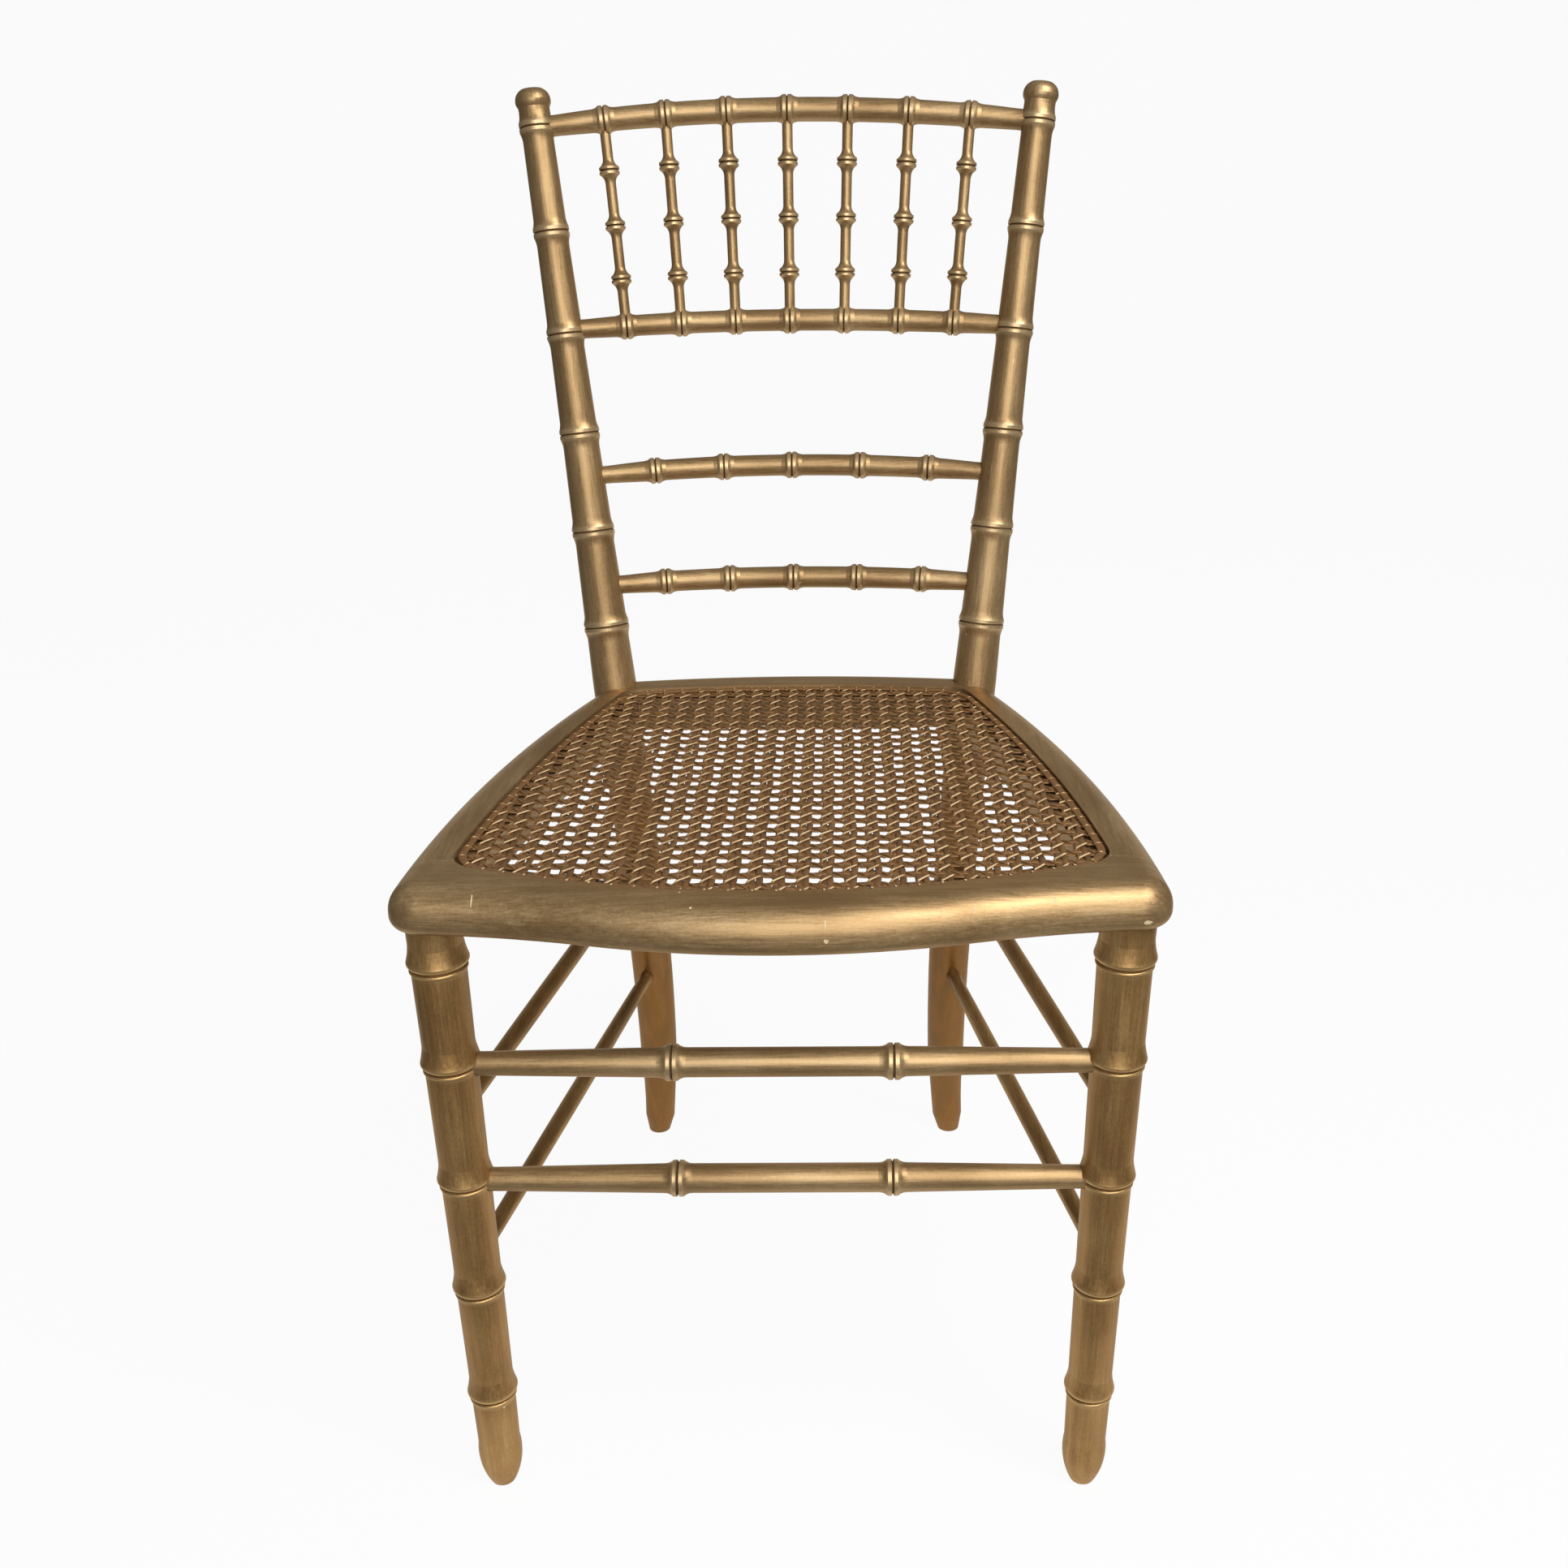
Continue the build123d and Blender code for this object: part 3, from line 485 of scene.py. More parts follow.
@dataclass(frozen=True)
class BentTurning:
    """Axis of a bent rail: an arc between the posts, with rings at an even pitch in X."""

    half_span: float
    end_y: float
    end_z: float
    bow: float
    rise: float
    pitch: float
    lips: Lips

    @property
    def sag(self) -> float:
        """Height of the arc over its chord."""
        return math.hypot(self.bow, self.rise)

    @property
    def radius(self) -> float:
        """Radius of the arc."""
        return (self.half_span**2 + self.sag**2) / (2 * self.sag)

    @property
    def up(self) -> np.ndarray:
        """Direction in which the arc bulges."""
        return np.array([0.0, self.bow, self.rise]) / self.sag

    @property
    def centre(self) -> np.ndarray:
        """Centre of the arc."""
        return np.array([0.0, self.end_y, self.end_z]) + self.up * (self.sag - self.radius)

    def ring_point(self, index: int) -> np.ndarray:
        """Point of the arc at a ring, counted from the middle one."""
        x = index * self.pitch
        return self.centre + self.up * math.sqrt(self.radius**2 - x**2) + np.array([x, 0.0, 0.0])

    def paint(self, name: str, gilding: Gilding) -> bpy.types.Material:
        """Gilding with strokes along the rail, painted shade in the grooves and painted highlights on the
        rubbed lips.

        The foot of a point on the arc lies at X = R * x / rho, with rho its distance from the
        arc's centre in the arc's plane; the nearest ring is found from X modulo the pitch.

        Args:
            name: material name.
            gilding: the paint.

        Returns:
            The material.
        """
        graph = Paint(name)
        place = graph.place()
        x = graph.axes(place)[0]
        offset = graph.vector_math("SUBTRACT", place, tuple(self.centre))
        height = graph.vector_math("DOT_PRODUCT", offset, tuple(self.up), "Value")
        rho = (height * height + x * x) ** 0.5
        foot = abs(x / rho) * (self.radius / self.pitch)
        distance = abs(foot - round(foot)) * self.pitch
        groove, lip = self.lips.masks(distance)
        brushed = graph.vector_math("MULTIPLY", place, Grain.SIDEWAYS.value)
        gilding.apply(graph, brushed, groove, lip)
        return graph.material


@dataclass(frozen=True)
class Mark:
    """A scratch or chip in the paint: a stretched spot with a ragged edge, in millimetres."""

    centre: Triple
    half_size: Triple
    strength: float = 1.0
    fray: float = 1.6
    core: float = 0.7

    def mask(self, graph: Paint, ragged: Field) -> Field:
        """1 inside the spot.

        Args:
            graph: graph to add to.
            ragged: noise that frays the edge.

        Returns:
            The mask.
        """
        centre, half_size = (tuple(part * MM for part in parts) for parts in (self.centre, self.half_size))
        offset = graph.vector_math("SUBTRACT", graph.place(), centre)
        scaled = graph.vector_math("DIVIDE", offset, half_size)
        size = graph.vector_math("LENGTH", scaled, (0.0, 0.0, 0.0), "Value")
        return (size + (ragged - 0.5) * self.fray).step(1.0, self.core) * self.strength


@dataclass(frozen=True)
class PlainPiece:
    """A piece without rings: the direction of its brush strokes, its marks and its joints.

    The paint has cracked over the joints, which are given by their places along Y.
    """

    grain: Grain
    marks: tuple[Mark, ...] = ()
    joints: tuple[float, ...] = ()
    fray_scale: float = 900.0
    waver_scale: float = 60.0
    waver: float = 0.8 * MM
    crack: Pair = (0.45 * MM, 0.2 * MM)
    crack_gaps: Pair = (0.42, 0.6)
    crack_share: float = 0.5

    def paint(self, name: str, gilding: Gilding) -> bpy.types.Material:
        """Gilding with strokes in one direction, cracks over the joints and marks.

        Args:
            name: material name.
            gilding: the paint.

        Returns:
            The material.
        """
        graph = Paint(name)
        place = graph.place()
        brushed = graph.vector_math("MULTIPLY", place, self.grain.value)
        ragged = graph.noise(place, self.fray_scale, detail=2.0)
        y = graph.axes(place)[1] + (graph.noise(place, self.waver_scale, detail=2.0) - 0.5) * self.waver
        faults = [
            abs(y - joint).step(*self.crack) * ragged.step(*self.crack_gaps) * self.crack_share
            for joint in self.joints
        ]
        faults += [spot.mask(graph, ragged) for spot in self.marks]
        pale: Number = reduce(Field.most, faults) if faults else 0.0
        gilding.apply(graph, brushed, groove=0.0, lip=0.0, mark=pale)
        return graph.material


@dataclass(frozen=True)
class BareWood:
    """Unpainted wood of the dowels."""

    light: Colour = rgba(196, 160, 112)
    dark: Colour = rgba(150, 112, 70)
    grain_scale: float = 3.0
    roughness: float = 0.7

    def material(self) -> bpy.types.Material:
        """Build the wood, with its grain across the chair.

        Returns:
            The material.
        """
        graph = Paint("bare_dowel")
        stretched = graph.vector_math("MULTIPLY", graph.place(), Grain.SIDEWAYS.value)
        grain = graph.noise(stretched, self.grain_scale)
        graph.set(Base_Color=graph.blend(self.light, self.dark, grain), Roughness=self.roughness)
        return graph.material


@dataclass(frozen=True)
class FloorPaint:
    """Pale paint of the floor, which looks almost evenly lit."""

    low: Colour = (0.76, 0.76, 0.76, 1.0)
    high: Colour = (0.8, 0.8, 0.8, 1.0)
    cloud_scale: float = 3.0
    roughness: float = 0.9
    glow: Colour = (1.0, 1.0, 1.0, 1.0)
    glow_share: float = 0.94

    def material(self) -> bpy.types.Material:
        """Build the paint, mixed with an even glow where the camera, a reflection or a clear piece shows it.

        Returns:
            The material.
        """
        graph = Paint("pale_floor")
        tint = graph.noise(graph.place(), self.cloud_scale, detail=2.0)
        graph.set(Base_Color=graph.blend(self.low, self.high, tint), Roughness=self.roughness)
        straight = graph.node("ShaderNodeLightPath", {}, {}, "Is Camera Ray")
        outputs = straight.socket.node.outputs
        glossy = Field(graph, outputs["Is Glossy Ray"])
        through = Field(graph, outputs["Is Transmission Ray"])
        seen = straight.most(glossy).most(through)
        glow = graph.node("ShaderNodeEmission", {}, {"Color": self.glow, "Strength": 1.0})
        base = Field(graph, graph.shader.outputs[0])
        mix = graph.node("ShaderNodeMixShader", {}, {0: seen * self.glow_share, 1: base, 2: glow})
        graph.put(graph.output.inputs[0], mix)
        return graph.material


@dataclass(frozen=True)
class CaneGilt:
    """Gilding on the cane: browner and duller than on the wood, with painted highlights where strands stand
    up and painted shade where they lie low.
    """

    # painted shade and light: low for the deep parts of the weave, high for its raised parts
    low: Colour = rgba(84, 56, 30)
    high: Colour = rgba(164, 122, 76)
    # painted highlight on the strands' crests
    wear_and_highlight: Colour = rgba(250, 220, 170)
    metallic: float = 0.5
    roughness: float = 0.5
    relief: float = 0.6
    relief_height: float = 0.3 * MM
    grain_scale: float = 420.0
    cloud_scale: float = 110.0
    crests: Pair = (0.8, 0.95)

    def material(self) -> bpy.types.Material:
        """Build the paint, which reads the strands' own tone attribute and their height, which sets the
        painted shade and highlights.

        Painted highlights lie on the crests, where 0.7 grain + 1.6 clouds is over 0.35.

        Returns:
            The material.
        """
        graph = Paint("woven_cane")
        light_height = graph.node("ShaderNodeAttribute", {"attribute_name": "light_height"}, {}, "Fac")
        tone = graph.node("ShaderNodeAttribute", {"attribute_name": "tone"}, {}, "Fac")
        place = graph.place()
        grain = graph.noise(place, self.grain_scale)
        cloud = graph.noise(place, self.cloud_scale, detail=2.0)
        # painted highlight on the crests
        crest_highlight = light_height.step(*self.crests) * (grain * 0.7 + cloud * 1.6 - 0.35).least(1.0).most(0.0)
        # painted shade: deep parts darker, raised parts lighter
        colour = graph.blend(self.low, self.high, light_height * 0.5 + tone * 0.3 + (grain - 0.5) * 0.9 + 0.15)
        colour = graph.blend(colour, self.wear_and_highlight, crest_highlight)
        rough = self.roughness - crest_highlight * 0.15 + (grain - 0.5) * 0.3
        graph.set(Base_Color=colour, Roughness=rough, Metallic=self.metallic - crest_highlight * 0.35)
        graph.bump(grain, self.relief_height, self.relief)
        return graph.material


def dress(nodes: Sequence[str], material: bpy.types.Material) -> None:
    """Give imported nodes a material.

    Args:
        nodes: node names.
        material: the finish.
    """
    for node in nodes:
        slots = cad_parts[node].data.materials
        slots.clear()
        slots.append(material)
        LOG.info("dressed %s with %s", node, material.name)


@dataclass(frozen=True)
class Lamp:
    """A soft lamp that faces the seat."""

    name: str
    place: Triple
    size: Pair
    power: float
    colour: Triple
    target: Triple = (0.0, 0.0, 0.45)

    def hang(self) -> None:
        """Add the lamp to the scene."""
        data = bpy.data.lights.new(self.name, "AREA")
        data.shape = "RECTANGLE"
        data.size, data.size_y = self.size
        data.energy = self.power
        data.color = self.colour
        lamp = bpy.data.objects.new(self.name, data)
        lamp.location = self.place
        lamp.rotation_euler = (Vector(self.target) - Vector(self.place)).to_track_quat("-Z", "Y").to_euler()
        bpy.context.collection.objects.link(lamp)


@dataclass
class Studio:
    """Camera, light and floor."""

    camera_place: Triple = (36.97 * MM, -1064.35 * MM, 837.9 * MM)
    yaw: float = math.radians(-0.85)
    pitch: float = math.radians(21.04)
    roll: float = math.radians(-0.75)
    focal_pixels: float = 1965.94
    axis_pixel: Pair = (1008.81, 953.7)
    sensor: float = 36.0
    clip_start: float = 0.05
    lamps: tuple[Lamp, ...] = (
        Lamp("key_lamp", (1.23, -1.08, 2.4), (1.0, 1.0), 48.0, (1.0, 0.99, 0.96)),
        Lamp("front_lamp", (0.25, -2.3, 1.5), (1.4, 1.7), 34.0, (1.0, 1.0, 1.0)),
    )
    sky: Colour = (0.97, 0.98, 1.0, 1.0)
    sky_level: float = 0.18
    floor_front: float = -0.34
    floor_back: float = 5.0
    floor_front_half: float = 0.6
    floor_back_half: float = 3.2
    bend: float = 0.9
    bend_points: int = 25
    backdrop_height: float = 1.46
    paint: FloorPaint = FloorPaint()

    def camera(self) -> None:
        """Place the camera at the photograph's viewpoint and angle."""
        forward = Vector((
            math.sin(self.yaw) * math.cos(self.pitch),
            math.cos(self.yaw) * math.cos(self.pitch),
            -math.sin(self.pitch),
        ))
        right = Vector((math.cos(self.yaw), -math.sin(self.yaw), 0.0))
        up = right.cross(forward)
        turned_right = right * math.cos(self.roll) + up * math.sin(self.roll)
        turned_up = up * math.cos(self.roll) - right * math.sin(self.roll)
        data = bpy.data.cameras.new("photo_camera")
        data.sensor_width = self.sensor
        data.lens = self.focal_pixels / PHOTO_SIZE * self.sensor
        data.shift_x = (PHOTO_SIZE / 2 - self.axis_pixel[0]) / PHOTO_SIZE
        data.shift_y = (self.axis_pixel[1] - PHOTO_SIZE / 2) / PHOTO_SIZE
        data.clip_start = self.clip_start
        eye = bpy.data.objects.new("photo_camera", data)
        basis = Matrix((turned_right, turned_up, -forward)).transposed()
        eye.matrix_world = Matrix.Translation(self.camera_place) @ basis.to_4x4()
        bpy.context.collection.objects.link(eye)
        bpy.context.scene.camera = eye

    def light(self) -> None:
        """Hang the lamps and light the world."""
        for lamp in self.lamps:
            lamp.hang()
        world = bpy.data.worlds.new("studio_world")
        world.use_nodes = True
        background = world.node_tree.nodes["Background"]
        background.inputs["Color"].default_value = self.sky
        background.inputs["Strength"].default_value = self.sky_level
        bpy.context.scene.world = world

    def floor(self) -> None:
        """Lay a plain pale floor that curves up behind the chair and keeps its shadow.

        The section (y, z)(s) is flat from the front to the bend, then a quarter circle of the bend's radius,
        then upright. The surface is (w h(s), y(s), z(s)) for w from -1 to 1, and its half width h grows
        evenly with y, as the camera's view does.
        """
        turn = np.linspace(0.0, math.pi / 2, self.bend_points)
        bend_y = self.floor_back - self.bend + self.bend * np.sin(turn)
        bend_z = self.bend - self.bend * np.cos(turn)
        y = np.concatenate([[self.floor_front], bend_y, [self.floor_back]])
        z = np.concatenate([[0.0], bend_z, [self.backdrop_height]])
        ends, halves = (self.floor_front, self.floor_back), (self.floor_front_half, self.floor_back_half)
        left = np.stack([-np.interp(y, ends, halves), y, z], axis=-1)
        points = np.concatenate([left, left * np.array([-1.0, 1.0, 1.0])])
        row = np.arange(len(y) - 1)
        faces = np.stack([row, row + len(y), row + len(y) + 1, row + 1], axis=-1)
        mesh = bpy.data.meshes.new("floor")
        mesh.from_pydata(points.tolist(), [], faces.tolist())
        mesh.polygons.foreach_set("use_smooth", np.ones(len(faces), dtype=bool))
        piece = bpy.data.objects.new("floor", mesh)
        bpy.context.collection.objects.link(piece)
        mesh.materials.append(self.paint.material())
        piece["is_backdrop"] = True

    def build(self) -> None:
        """Set up the whole studio."""
        self.camera()
        self.light()
        self.floor()
        LOG.info("studio is set up")


@dataclass(frozen=True)
class RailPlan:
    """Place and rings of a bent rail.

    The share is its height on the posts, the rise is that of its middle over its ends, and the spread is the
    rings' pitch as a part of an even one.
    """

    name: str
    share: float
    rise: float
    rings: int
    spread: float = 1.0


@dataclass
class TurnedFrame:
    """Legs, posts, stretchers, rails and spindles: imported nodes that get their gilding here."""

    shift_y: float = -32.54 * MM
    post_base: Triple = (145.5 * MM, 198.5 * MM, 445.0 * MM)
    post_run: Triple = (46.0 * MM, 70.5 * MM, 445.0 * MM)
    post_plain: float = 0.02
    leg_foot: Triple = (197.0 * MM, -187.5 * MM, 0.0)
    leg_top: Triple = (207.0 * MM, -177.5 * MM, 416.0 * MM)
    leg_rings: tuple[float, ...] = (0.935, 0.771, 0.571, 0.376, 0.175)
    post_rings: tuple[float, ...] = tuple(0.104 + 0.1672 * index for index in range(6))
    spindle_rings: tuple[float, ...] = (0.227, 0.492, 0.761)
    middle_spindle: int = 4
    spindle_relief: float = 0.15
    stretcher_ring: float = 68.0 * MM
    bow: float = 18.0 * MM
    rails: tuple[RailPlan, ...] = (
        RailPlan("top_rail", 0.9395, 11.2 * MM, 7, 0.981),
        RailPlan("spindle_rail", 0.612, 4.3 * MM, 7, 0.975),
        RailPlan("upper_cross_rail", 0.3645, 4.5 * MM, 5),
        RailPlan("lower_cross_rail", 0.1735, 1.6 * MM, 5),
    )
    leg_lips: Lips = Lips(0.75 * MM, 2.6 * MM, 6.0 * MM, 3.3 * MM)
    post_lips: Lips = Lips(0.85 * MM, 2.8 * MM, 6.0 * MM)
    rail_lips: Lips = Lips(0.85 * MM, 2.8 * MM, 5.0 * MM)
    spindle_lips: Lips = Lips(0.75 * MM, 2.2 * MM, 4.0 * MM)

    def packed(self, point: Sequence[float]) -> Triple:
        """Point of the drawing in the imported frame, which is shifted along Y."""
        return (point[0], point[1] + self.shift_y, point[2])

    def post_point(self, share: float) -> Triple:
        """Point of the right post axis at a share of the back height."""
        return self.packed([base + run * share for base, run in zip(self.post_base, self.post_run)])

    def rail(self, plan: RailPlan) -> BentTurning:
        """Turning of a rail.

        Args:
            plan: its place and rings.

        Returns:
            The turning.
        """
        x, y, z = self.post_point(plan.share)
        pitch = plan.spread * 2 * x / (plan.rings + 1)
        return BentTurning(x, y, z, self.bow, plan.rise, pitch, self.rail_lips)

    def dress_uprights(self, pale: Gilding, brown_reflection: Gilding) -> None:
        """Gild the front legs and the posts.

        Args:
            pale: the paint of the posts.
            brown_reflection: the darker, browner paint of the legs, painted shade and reflection of a brown
                ground.
        """
        foot, top = self.packed(self.leg_foot), self.packed(self.leg_top)
        legs = StraightTurning(foot, top, self.leg_rings, self.leg_lips)
        dress(["front_leg_left", "front_leg_right"], legs.paint("gilt_front_leg", brown_reflection))
        base, tip = self.post_point(0.0), self.post_point(1.0)
        posts = StraightTurning(base, tip, self.post_rings, self.post_lips, self.post_plain)
        dress(["rear_post_left", "rear_post_right"], posts.paint("gilt_post", pale))

    def dress_back(self, pale: Gilding) -> None:
        """Gild the rails of the back and its spindles, which run between the rings of two rails.

        Args:
            pale: the paint.
        """
        turnings = {plan.name: self.rail(plan) for plan in self.rails}
        for name, turning in turnings.items():
            dress([name], turning.paint(f"gilt_{name}", pale))
        smooth = replace(pale, relief=self.spindle_relief)
        for index in range(self.middle_spindle):
            lower = turnings["spindle_rail"].ring_point(index)
            upper = turnings["top_rail"].ring_point(index)
            spindle = StraightTurning(tuple(lower), tuple(upper), self.spindle_rings, self.spindle_lips)
            numbers = sorted({self.middle_spindle - index, self.middle_spindle + index})
            pair = [f"spindle_{number}" for number in numbers]
            dress(pair, spindle.paint(f"gilt_spindle_{index}", smooth))

    def dress_stretchers(self, pale: Gilding, brown_reflection: Gilding) -> None:
        """Gild the stretchers.

        Args:
            pale: the paint of the front ones.
            brown_reflection: the darker, browner paint of the side ones, painted shade and reflection of a
                brown ground.
        """
        double = (2 * self.stretcher_ring, 0.0, 0.0)
        across = StraightTurning((0.0, 0.0, 0.0), double, (0.5,), self.rail_lips)
        fronts = ["front_stretcher_upper", "front_stretcher_lower"]
        dress(fronts, across.paint("gilt_front_stretcher", pale))
        places = ("left_upper", "left_lower", "right_upper", "right_lower")
        plain = PlainPiece(Grain.FRONT_TO_BACK)
        dress([f"side_stretcher_{place}" for place in places], plain.paint("gilt_side_stretcher", brown_reflection))

    def dress(self, pale: Gilding, brown_reflection: Gilding) -> None:
        """Gild every turned piece.

        Args:
            pale: the paint.
            brown_reflection: the darker, browner paint of the front legs and side stretchers, painted shade
                and reflection of a brown ground.
        """
        self.dress_uprights(pale, brown_reflection)
        self.dress_back(pale)
        self.dress_stretchers(pale, brown_reflection)


@dataclass
class SeatFrame:
    """Rails of the seat and the dowels in their joints."""

    joints: Pair = (-184.0 * MM, 128.0 * MM)
    marks: tuple[Mark, ...] = (
        Mark((-177.8, -229.5, 439.8), (0.5, 5.0, 5.0)),
        Mark((-151.0, -239.2, 429.6), (7.5, 3.0, 1.6), 0.16),
        Mark((27.6, -257.2, 436.2), (0.5, 3.0, 2.6)),
        Mark((93.4, -246.9, 438.3), (0.5, 2.2, 2.0)),
        Mark((112.2, -242.5, 438.6), (0.5, 2.2, 2.0)),
        Mark((159.6, -232.9, 438.8), (0.5, 2.4, 2.2)),
        Mark((28.0, -260.1, 427.5), (1.6, 2.0, 1.4)),
        Mark((214.3, -231.7, 423.8), (3.0, 2.5, 1.6)),
    )

    def dress(self, gilding: Gilding, wood: BareWood) -> None:
        """Gild the rails and give the dowels bare wood.

        Args:
            gilding: the paint of the rails.
            wood: the finish of the dowels.
        """
        cross = PlainPiece(Grain.SIDEWAYS, self.marks, self.joints)
        dress(["seat_front_rail", "seat_back_rail"], cross.paint("gilt_cross_rail", gilding))
        side = PlainPiece(Grain.FRONT_TO_BACK, (), self.joints)
        dress(["seat_side_rail_left", "seat_side_rail_right"], side.paint("gilt_side_rail", gilding))
        dress(["seat_frame_dowels", "post_dowels"], wood.material())


@dataclass
class CaneSeat:
    """Six-way woven cane with its binder and ties, in the recess of the seat frame.

    Plan places are written in cell sizes: u = x / pitch_x and v = (y - middle_y) / pitch_y.
    """

    pitch_x: float = 14.15 * MM
    pitch_y: float = 15.0 * MM
    middle_y: float = -37.2 * MM
    half_cells: int = 16
    samples: int = 6201
    segments: int = 150
    shortest: int = 12
    pair_half: float = 2.0 * MM
    pair_width: float = 4.3 * MM
    cross_half: float = 2.1 * MM
    cross_width: float = 4.5 * MM
    slant_width: float = 2.0 * MM
    strand_thick: float = 1.05 * MM
    wander: float = 0.65 * MM
    wander_waves: Pair = (1.7, 1.9)
    level: float = 441.9 * MM
    pair_lift: float = 0.45 * MM
    slant_lift: float = 1.45 * MM
    sag: float = 3.0 * MM
    sag_start: float = 17.0 * MM
    sag_run: float = 110.0 * MM
    ease_run: float = 9.0 * MM
    ease_least: float = 0.4
    front_corner: Pair = (201.0 * MM, -188.04 * MM)
    rear_corner: Pair = (135.0 * MM, 146.96 * MM)
    front_middle: float = -231.04 * MM
    rear_middle: float = 156.96 * MM
    side_bulge: float = 10.0 * MM
    corner_radius: float = 22.0 * MM
    border: float = 3.6 * MM
    rays: int = 1440
    ray_length: float = 400.0 * MM
    halvings: int = 40
    binder_width: float = 5.6 * MM
    binder_thick: float = 1.1 * MM
    binder_lift: float = 1.25 * MM
    tie_pitch: float = 14.0 * MM
    tie_stations: int = 6
    tie_points: int = 7
    tie_half: float = 3.5 * MM
    tie_rise: float = 0.75 * MM
    tie_drop: float = 1.6 * MM
    tie_width: float = 2.1 * MM
    tie_thick: float = 0.7 * MM
    material: bpy.types.Material = field(default_factory=CaneGilt().material)

    @staticmethod
    def arc(first: np.ndarray, last: np.ndarray, bulge: float) -> tuple[np.ndarray, float]:
        """Centre and radius of the arc that bulges to the right of the way from first to last.

        Args:
            first: start in plan.
            last: end in plan.
            bulge: height of the arc over its chord.

        Returns:
            Centre and radius.
        """
        chord = last - first
        length = float(np.linalg.norm(chord))
        outward = np.array([chord[1], -chord[0]]) / length
        radius = (length**2 / 4 + bulge**2) / (2 * bulge)
        return (first + last) / 2 - outward * (radius - bulge), radius

    @staticmethod
    def swing(t: np.ndarray) -> np.ndarray:
        """Rise and fall of a strand in a pair, S(t) = sin(2 pi t) (1 + cos(2 pi t)) / 1.3."""
        return np.sin(FULL_TURN * t) * (1 + np.cos(FULL_TURN * t)) / 1.3

    def inside(self, x: np.ndarray, y: np.ndarray) -> np.ndarray:
        """Distance from the border of the recess, positive inside.

        The border is four arcs, d = R - |P - C|; near a corner the two smallest distances a and b
        join as r - sqrt((r - a)^2 + (r - b)^2), which rounds it with the radius r.

        Args:
            x: places across.
            y: places front to back.

        Returns:
            Distances of the same shape.
        """
        front = np.array(self.front_corner)
        rear = np.array(self.rear_corner)
        flip = np.array([-1.0, 1.0])
        arcs = [
            self.arc(front * flip, front, self.front_corner[1] - self.front_middle),
            self.arc(front, rear, self.side_bulge),
            self.arc(rear, rear * flip, self.rear_middle - self.rear_corner[1]),
        ]
        wide = np.abs(x)
        depths = np.stack([radius - np.hypot(wide - centre[0], y - centre[1]) for centre, radius in arcs])
        depths = np.sort(depths, axis=0)
        near = np.clip(self.corner_radius - depths[:2], 0.0, None)
        rounded = self.corner_radius - np.hypot(near[0], near[1])
        return np.where(near.min(axis=0) > 0, rounded, depths[0])

    def sink(self, depth: np.ndarray) -> np.ndarray:
        """Sag of the seat, s = sag * (3 t^2 - 2 t^3) with t from the ledge to the middle."""
        share = np.clip((depth - self.sag_start) / self.sag_run, 0.0, 1.0)
        return self.sag * share**2 * (3 - 2 * share)

    def add(
        self, name: str, points: np.ndarray, faces: list[list[int]], marks: dict[str, np.ndarray]
    ) -> None:
        """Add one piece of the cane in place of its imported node.

        Args:
            name: piece name.
            points: its points, three values each.
            faces: point numbers of each face.
            marks: values at the points for the material, by the name of the attribute.
        """
        mesh = bpy.data.meshes.new(name)
        mesh.from_pydata(points.reshape(-1, 3).tolist(), [], faces)
        mesh.polygons.foreach_set("use_smooth", np.ones(len(mesh.polygons), dtype=bool))
        for key, values in marks.items():
            mark = mesh.attributes.new(key, "FLOAT", "POINT")
            mark.data.foreach_set("value", values.astype(np.float32).ravel())
        piece = bpy.data.objects.new(name, mesh)
        bpy.context.collection.objects.link(piece)
        mesh.materials.append(self.material)
        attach(piece, "root")
        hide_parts("cane_binder" if "binder" in name else "cane_panel")
        LOG.info("built %s with %d faces", name, len(mesh.polygons))

    def sweep(
        self, name: str, paths: np.ndarray, width: float, thick: float, light_height: np.ndarray, closed: bool
    ) -> None:
        """Sweep a flattened half-round section along many paths and add the piece.

        With the path P(i, s), its level perpendicular n(i, s) and the section (a(k), b(k)), the surface is
        P(i, s) + width * a(k) * n(i, s) + thick * b(k) * z. The material gets 0.75 light_height + 0.5 b(k),
        as painted light on the tops and painted shade below.

        Args:
            name: piece name.
            paths: path points, shaped (paths, stations, 3).
            width: strand width.
            thick: strand thickness.
            light_height: height of each station from 0 to 1, for the painted shade and highlights of the
                material.
            closed: whether each path ends where it starts.
        """
        shape = (paths.shape[0], paths.shape[1], len(STRAND_SECTION))
        if closed:
            run = np.roll(paths, -1, axis=1) - np.roll(paths, 1, axis=1)
        else:
            run = np.gradient(paths, axis=1)
        run[..., 2] = 0.0
        run = run / np.linalg.norm(run, axis=-1, keepdims=True)
        normal = np.stack([-run[..., 1], run[..., 0], np.zeros(shape[:2])], axis=-1)
        points = (
            paths[:, :, None, :]
            + width * STRAND_SECTION[:, :1] * normal[:, :, None, :]
            + thick * STRAND_SECTION[:, 1:] * UPWARD
        )
        index = np.arange(math.prod(shape)).reshape(shape)
        ahead = np.roll(index, -1, axis=1)
        if not closed:
            index, ahead = index[:, :-1], ahead[:, :-1]
        quads = np.stack([index, ahead, np.roll(ahead, -1, axis=2), np.roll(index, -1, axis=2)], axis=-1)
        faces = quads.reshape(-1, 4).tolist()
        if not closed:
            faces += index[:, 0, :].tolist()
            faces += ahead[:, -1, ::-1].tolist()
        random = np.random.default_rng(len(name)).random(len(paths))
        tones = np.broadcast_to(random[:, None, None], shape)
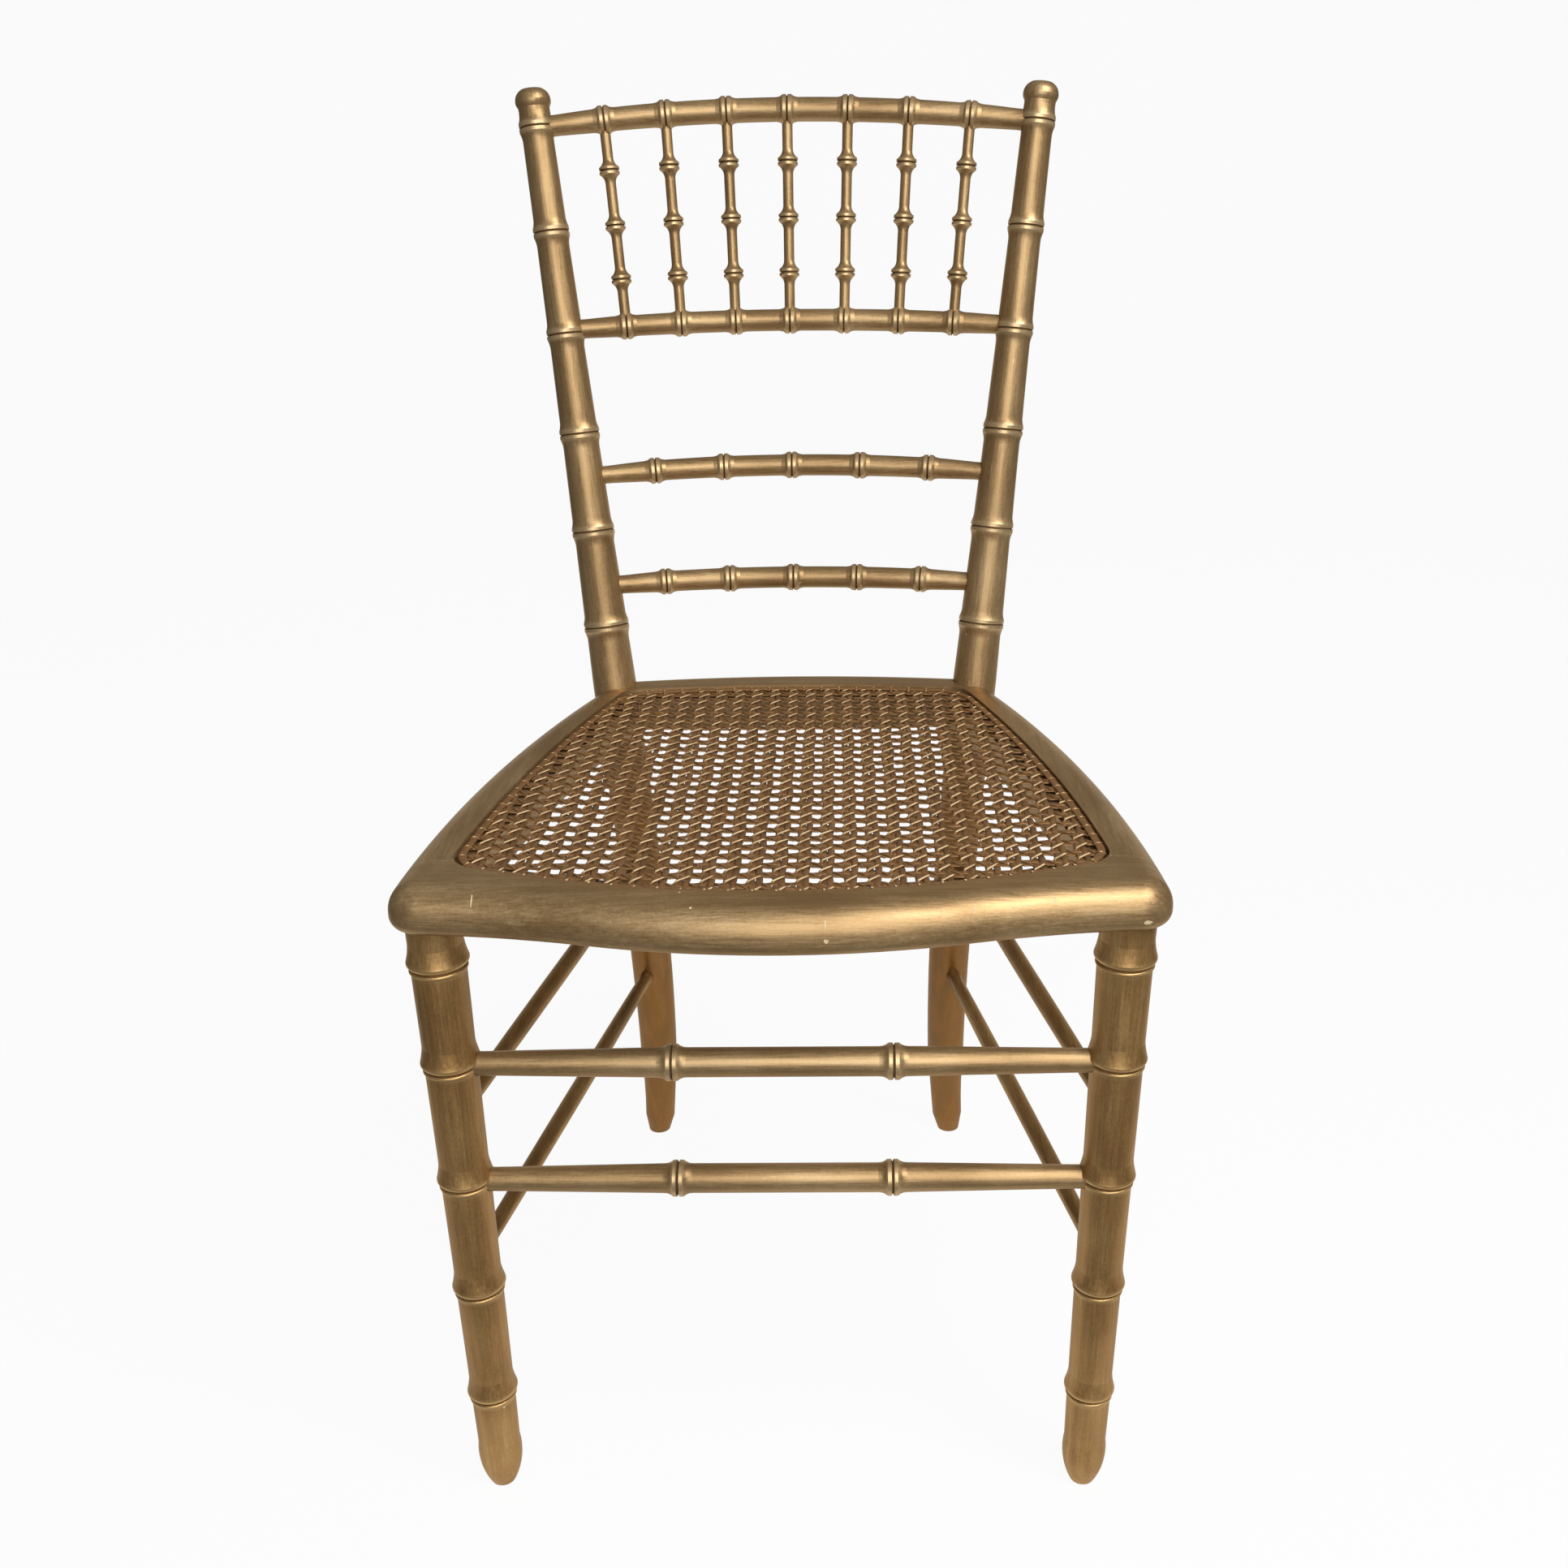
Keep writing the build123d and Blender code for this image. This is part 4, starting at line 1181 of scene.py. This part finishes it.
        # painted light: raised stations and the top of the section lighter, the rest darker
        painted_light = np.clip(light_height[:, :, None] * 0.75 + STRAND_SECTION[:, 1] * 0.5, 0.0, 1.0)
        self.add(name, points, faces, {"tone": tones, "light_height": painted_light})

    def strands(self, name: str, u: np.ndarray, v: np.ndarray, wave: np.ndarray, width: float) -> None:
        """Clip strands to the border, let them wander a little as x + a sin(f v + p), and sweep them.

        Args:
            name: piece name.
            u: places across in cells, shaped (strands, samples).
            v: places front to back in cells, same shape.
            wave: height over the middle level, same shape.
            width: width of a strand.
        """
        phase = np.random.default_rng(len(name)).random((len(u), 2)) * FULL_TURN
        x = u * self.pitch_x + self.wander * np.sin(v * self.wander_waves[0] + phase[:, :1])
        stray = self.wander * np.sin(u * self.wander_waves[1] + phase[:, 1:])
        y = self.middle_y + v * self.pitch_y + stray
        kept = self.inside(x, y) > self.border
        long = kept.sum(axis=1) > self.shortest
        x, y, wave, kept = x[long], y[long], wave[long], kept[long]
        first = kept.argmax(axis=1)
        last = kept.shape[1] - 1 - kept[:, ::-1].argmax(axis=1)
        share = np.linspace(0.0, 1.0, self.segments + 1)
        pick = first[:, None] + (last - first)[:, None] * share[None, :]
        rows = np.arange(len(x))[:, None]
        whole = np.round(pick).astype(int)
        x, y, wave = x[rows, whole], y[rows, whole], wave[rows, whole]
        depth = self.inside(x, y)
        ease = np.clip((depth - self.border) / self.ease_run, 0.0, 1.0)
        ease = ease * (1.0 - self.ease_least) + self.ease_least
        z = self.level + wave * ease - self.sink(depth)
        # height from 0 to 1 that sets the painted shade and highlights
        light_height = np.clip(0.5 + wave / (2 * self.slant_lift), 0.0, 1.0)
        self.sweep(name, np.stack([x, y, z], axis=-1), width, self.strand_thick, light_height, False)

    def build(self) -> None:
        """Weave the seat, lay the binder on its border and tie it down.

        Along a pair the strands rise and fall one against the other. The strands that slant to the right
        follow 1.6 cos(2 pi u) + 0.8, cut off at 1 and -0.7, so they lie on top for most of their length.
        Those that slant to the left follow -0.6 cos(2 pi u).
        """
        run = np.linspace(0.5 - self.half_cells, self.half_cells - 0.5, self.samples)
        cells = np.arange(-self.half_cells, self.half_cells + 1)
        sides = np.tile([-1.0, 1.0], len(cells))[:, None]
        lines = np.repeat(cells, 2)[:, None].astype(float)
        steady = np.broadcast_to(run, (len(lines), len(run)))
        beat = sides * self.pair_lift * self.swing(steady)
        across = np.broadcast_to(lines + sides * self.pair_half / self.pitch_x, steady.shape)
        self.strands("cane_front_to_back", across, steady, beat, self.pair_width)
        deep = np.broadcast_to(lines + sides * self.cross_half / self.pitch_y, steady.shape)
        self.strands("cane_side_to_side", steady, deep, -beat, self.cross_width)
        slants = np.arange(-2 * self.half_cells, 2 * self.half_cells + 1)[:, None] + 0.5
        spread = np.broadcast_to(run, (len(slants), len(run)))
        over = self.slant_lift * np.clip(1.6 * np.cos(FULL_TURN * spread) + 0.8, -0.7, 1.0)
        self.strands("cane_slant_right", spread, spread - slants, over, self.slant_width)
        under = -0.6 * self.slant_lift * np.cos(FULL_TURN * spread)
        self.strands("cane_slant_left", spread, slants - spread, under, self.slant_width)
        self.bind()

    def border_line(self) -> np.ndarray:
        """Find the level line inside(P) = border, on rays from the middle by bisection.

        Returns:
            Points in plan, one for each ray.
        """
        angle = np.linspace(0.0, FULL_TURN, self.rays, endpoint=False)
        low = np.zeros_like(angle)
        high = np.full_like(angle, self.ray_length)
        for _ in range(self.halvings):
            middle = (low + high) / 2
            depth = self.inside(middle * np.cos(angle), self.middle_y + middle * np.sin(angle))
            low = np.where(depth > self.border, middle, low)
            high = np.where(depth > self.border, high, middle)
        return np.stack([low * np.cos(angle), self.middle_y + low * np.sin(angle)], axis=-1)

    def bind(self) -> None:
        """Lay the binder along the border and tie it down at an even pitch, where a painted highlight makes
        it look highest.
        """
        plan = self.border_line()
        loop = np.vstack([plan, plan[:1]])
        steps = np.linalg.norm(np.diff(loop, axis=0), axis=1)
        length = np.concatenate([[0.0], np.cumsum(steps)])
        stations = int(round(length[-1] / self.tie_pitch)) * self.tie_stations
        place = np.linspace(0.0, length[-1], stations, endpoint=False)
        x = np.interp(place, length, loop[:, 0])
        y = np.interp(place, length, loop[:, 1])
        path = np.stack([x, y, np.full_like(x, self.level + self.binder_lift)], axis=-1)
        # painted light: the binder lighter at each tie and darker between them
        light_height = 0.6 + 0.15 * np.cos(FULL_TURN * np.arange(stations) / self.tie_stations)
        self.sweep("cane_binder_strip", path[None], self.binder_width, self.binder_thick, light_height[None], True)
        run = np.roll(path, -1, axis=0) - np.roll(path, 1, axis=0)
        run = run / np.linalg.norm(run, axis=1, keepdims=True)
        normal = np.stack([-run[:, 1], run[:, 0], np.zeros(stations)], axis=-1)
        self.tie(path[:: self.tie_stations], normal[:: self.tie_stations])

    def tie(self, places: np.ndarray, normals: np.ndarray) -> None:
        """Lay a short arched strand across the binder at each place.

        With r from -1 to 1 across the binder, the path is P + half * r * n + (rise - drop * r^4) * z.

        Args:
            places: points of the binder's path.
            normals: level directions across it.
        """
        reach = np.linspace(-1.0, 1.0, self.tie_points)
        arch = self.tie_rise - self.tie_drop * reach**4
        bridge = places[:, None, :] + normals[:, None, :] * (reach * self.tie_half)[:, None]
        bridge = bridge + arch[:, None] * UPWARD
        # painted shade: each tie darker towards its ends
        crest = np.broadcast_to(1.0 - 0.5 * np.abs(reach), bridge.shape[:2])
        self.sweep("cane_binder_ties", bridge, self.tie_width, self.tie_thick, crest, False)


def main() -> None:
    """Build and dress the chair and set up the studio."""
    logging.basicConfig(level=logging.INFO)
    packed = [list(map(float, corner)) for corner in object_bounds()]
    Studio().build()
    TurnedFrame().dress(Finish.PALE.value, Finish.BROWN_REFLECTION.value)
    SeatFrame().dress(Finish.PALE.value, BareWood())
    CaneSeat().build()
    bpy.context.scene.view_settings.view_transform = "Standard"
    shown = [list(map(float, corner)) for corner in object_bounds()]
    {"packed": packed, "shown": shown}


if __name__ == "__main__":
    main()
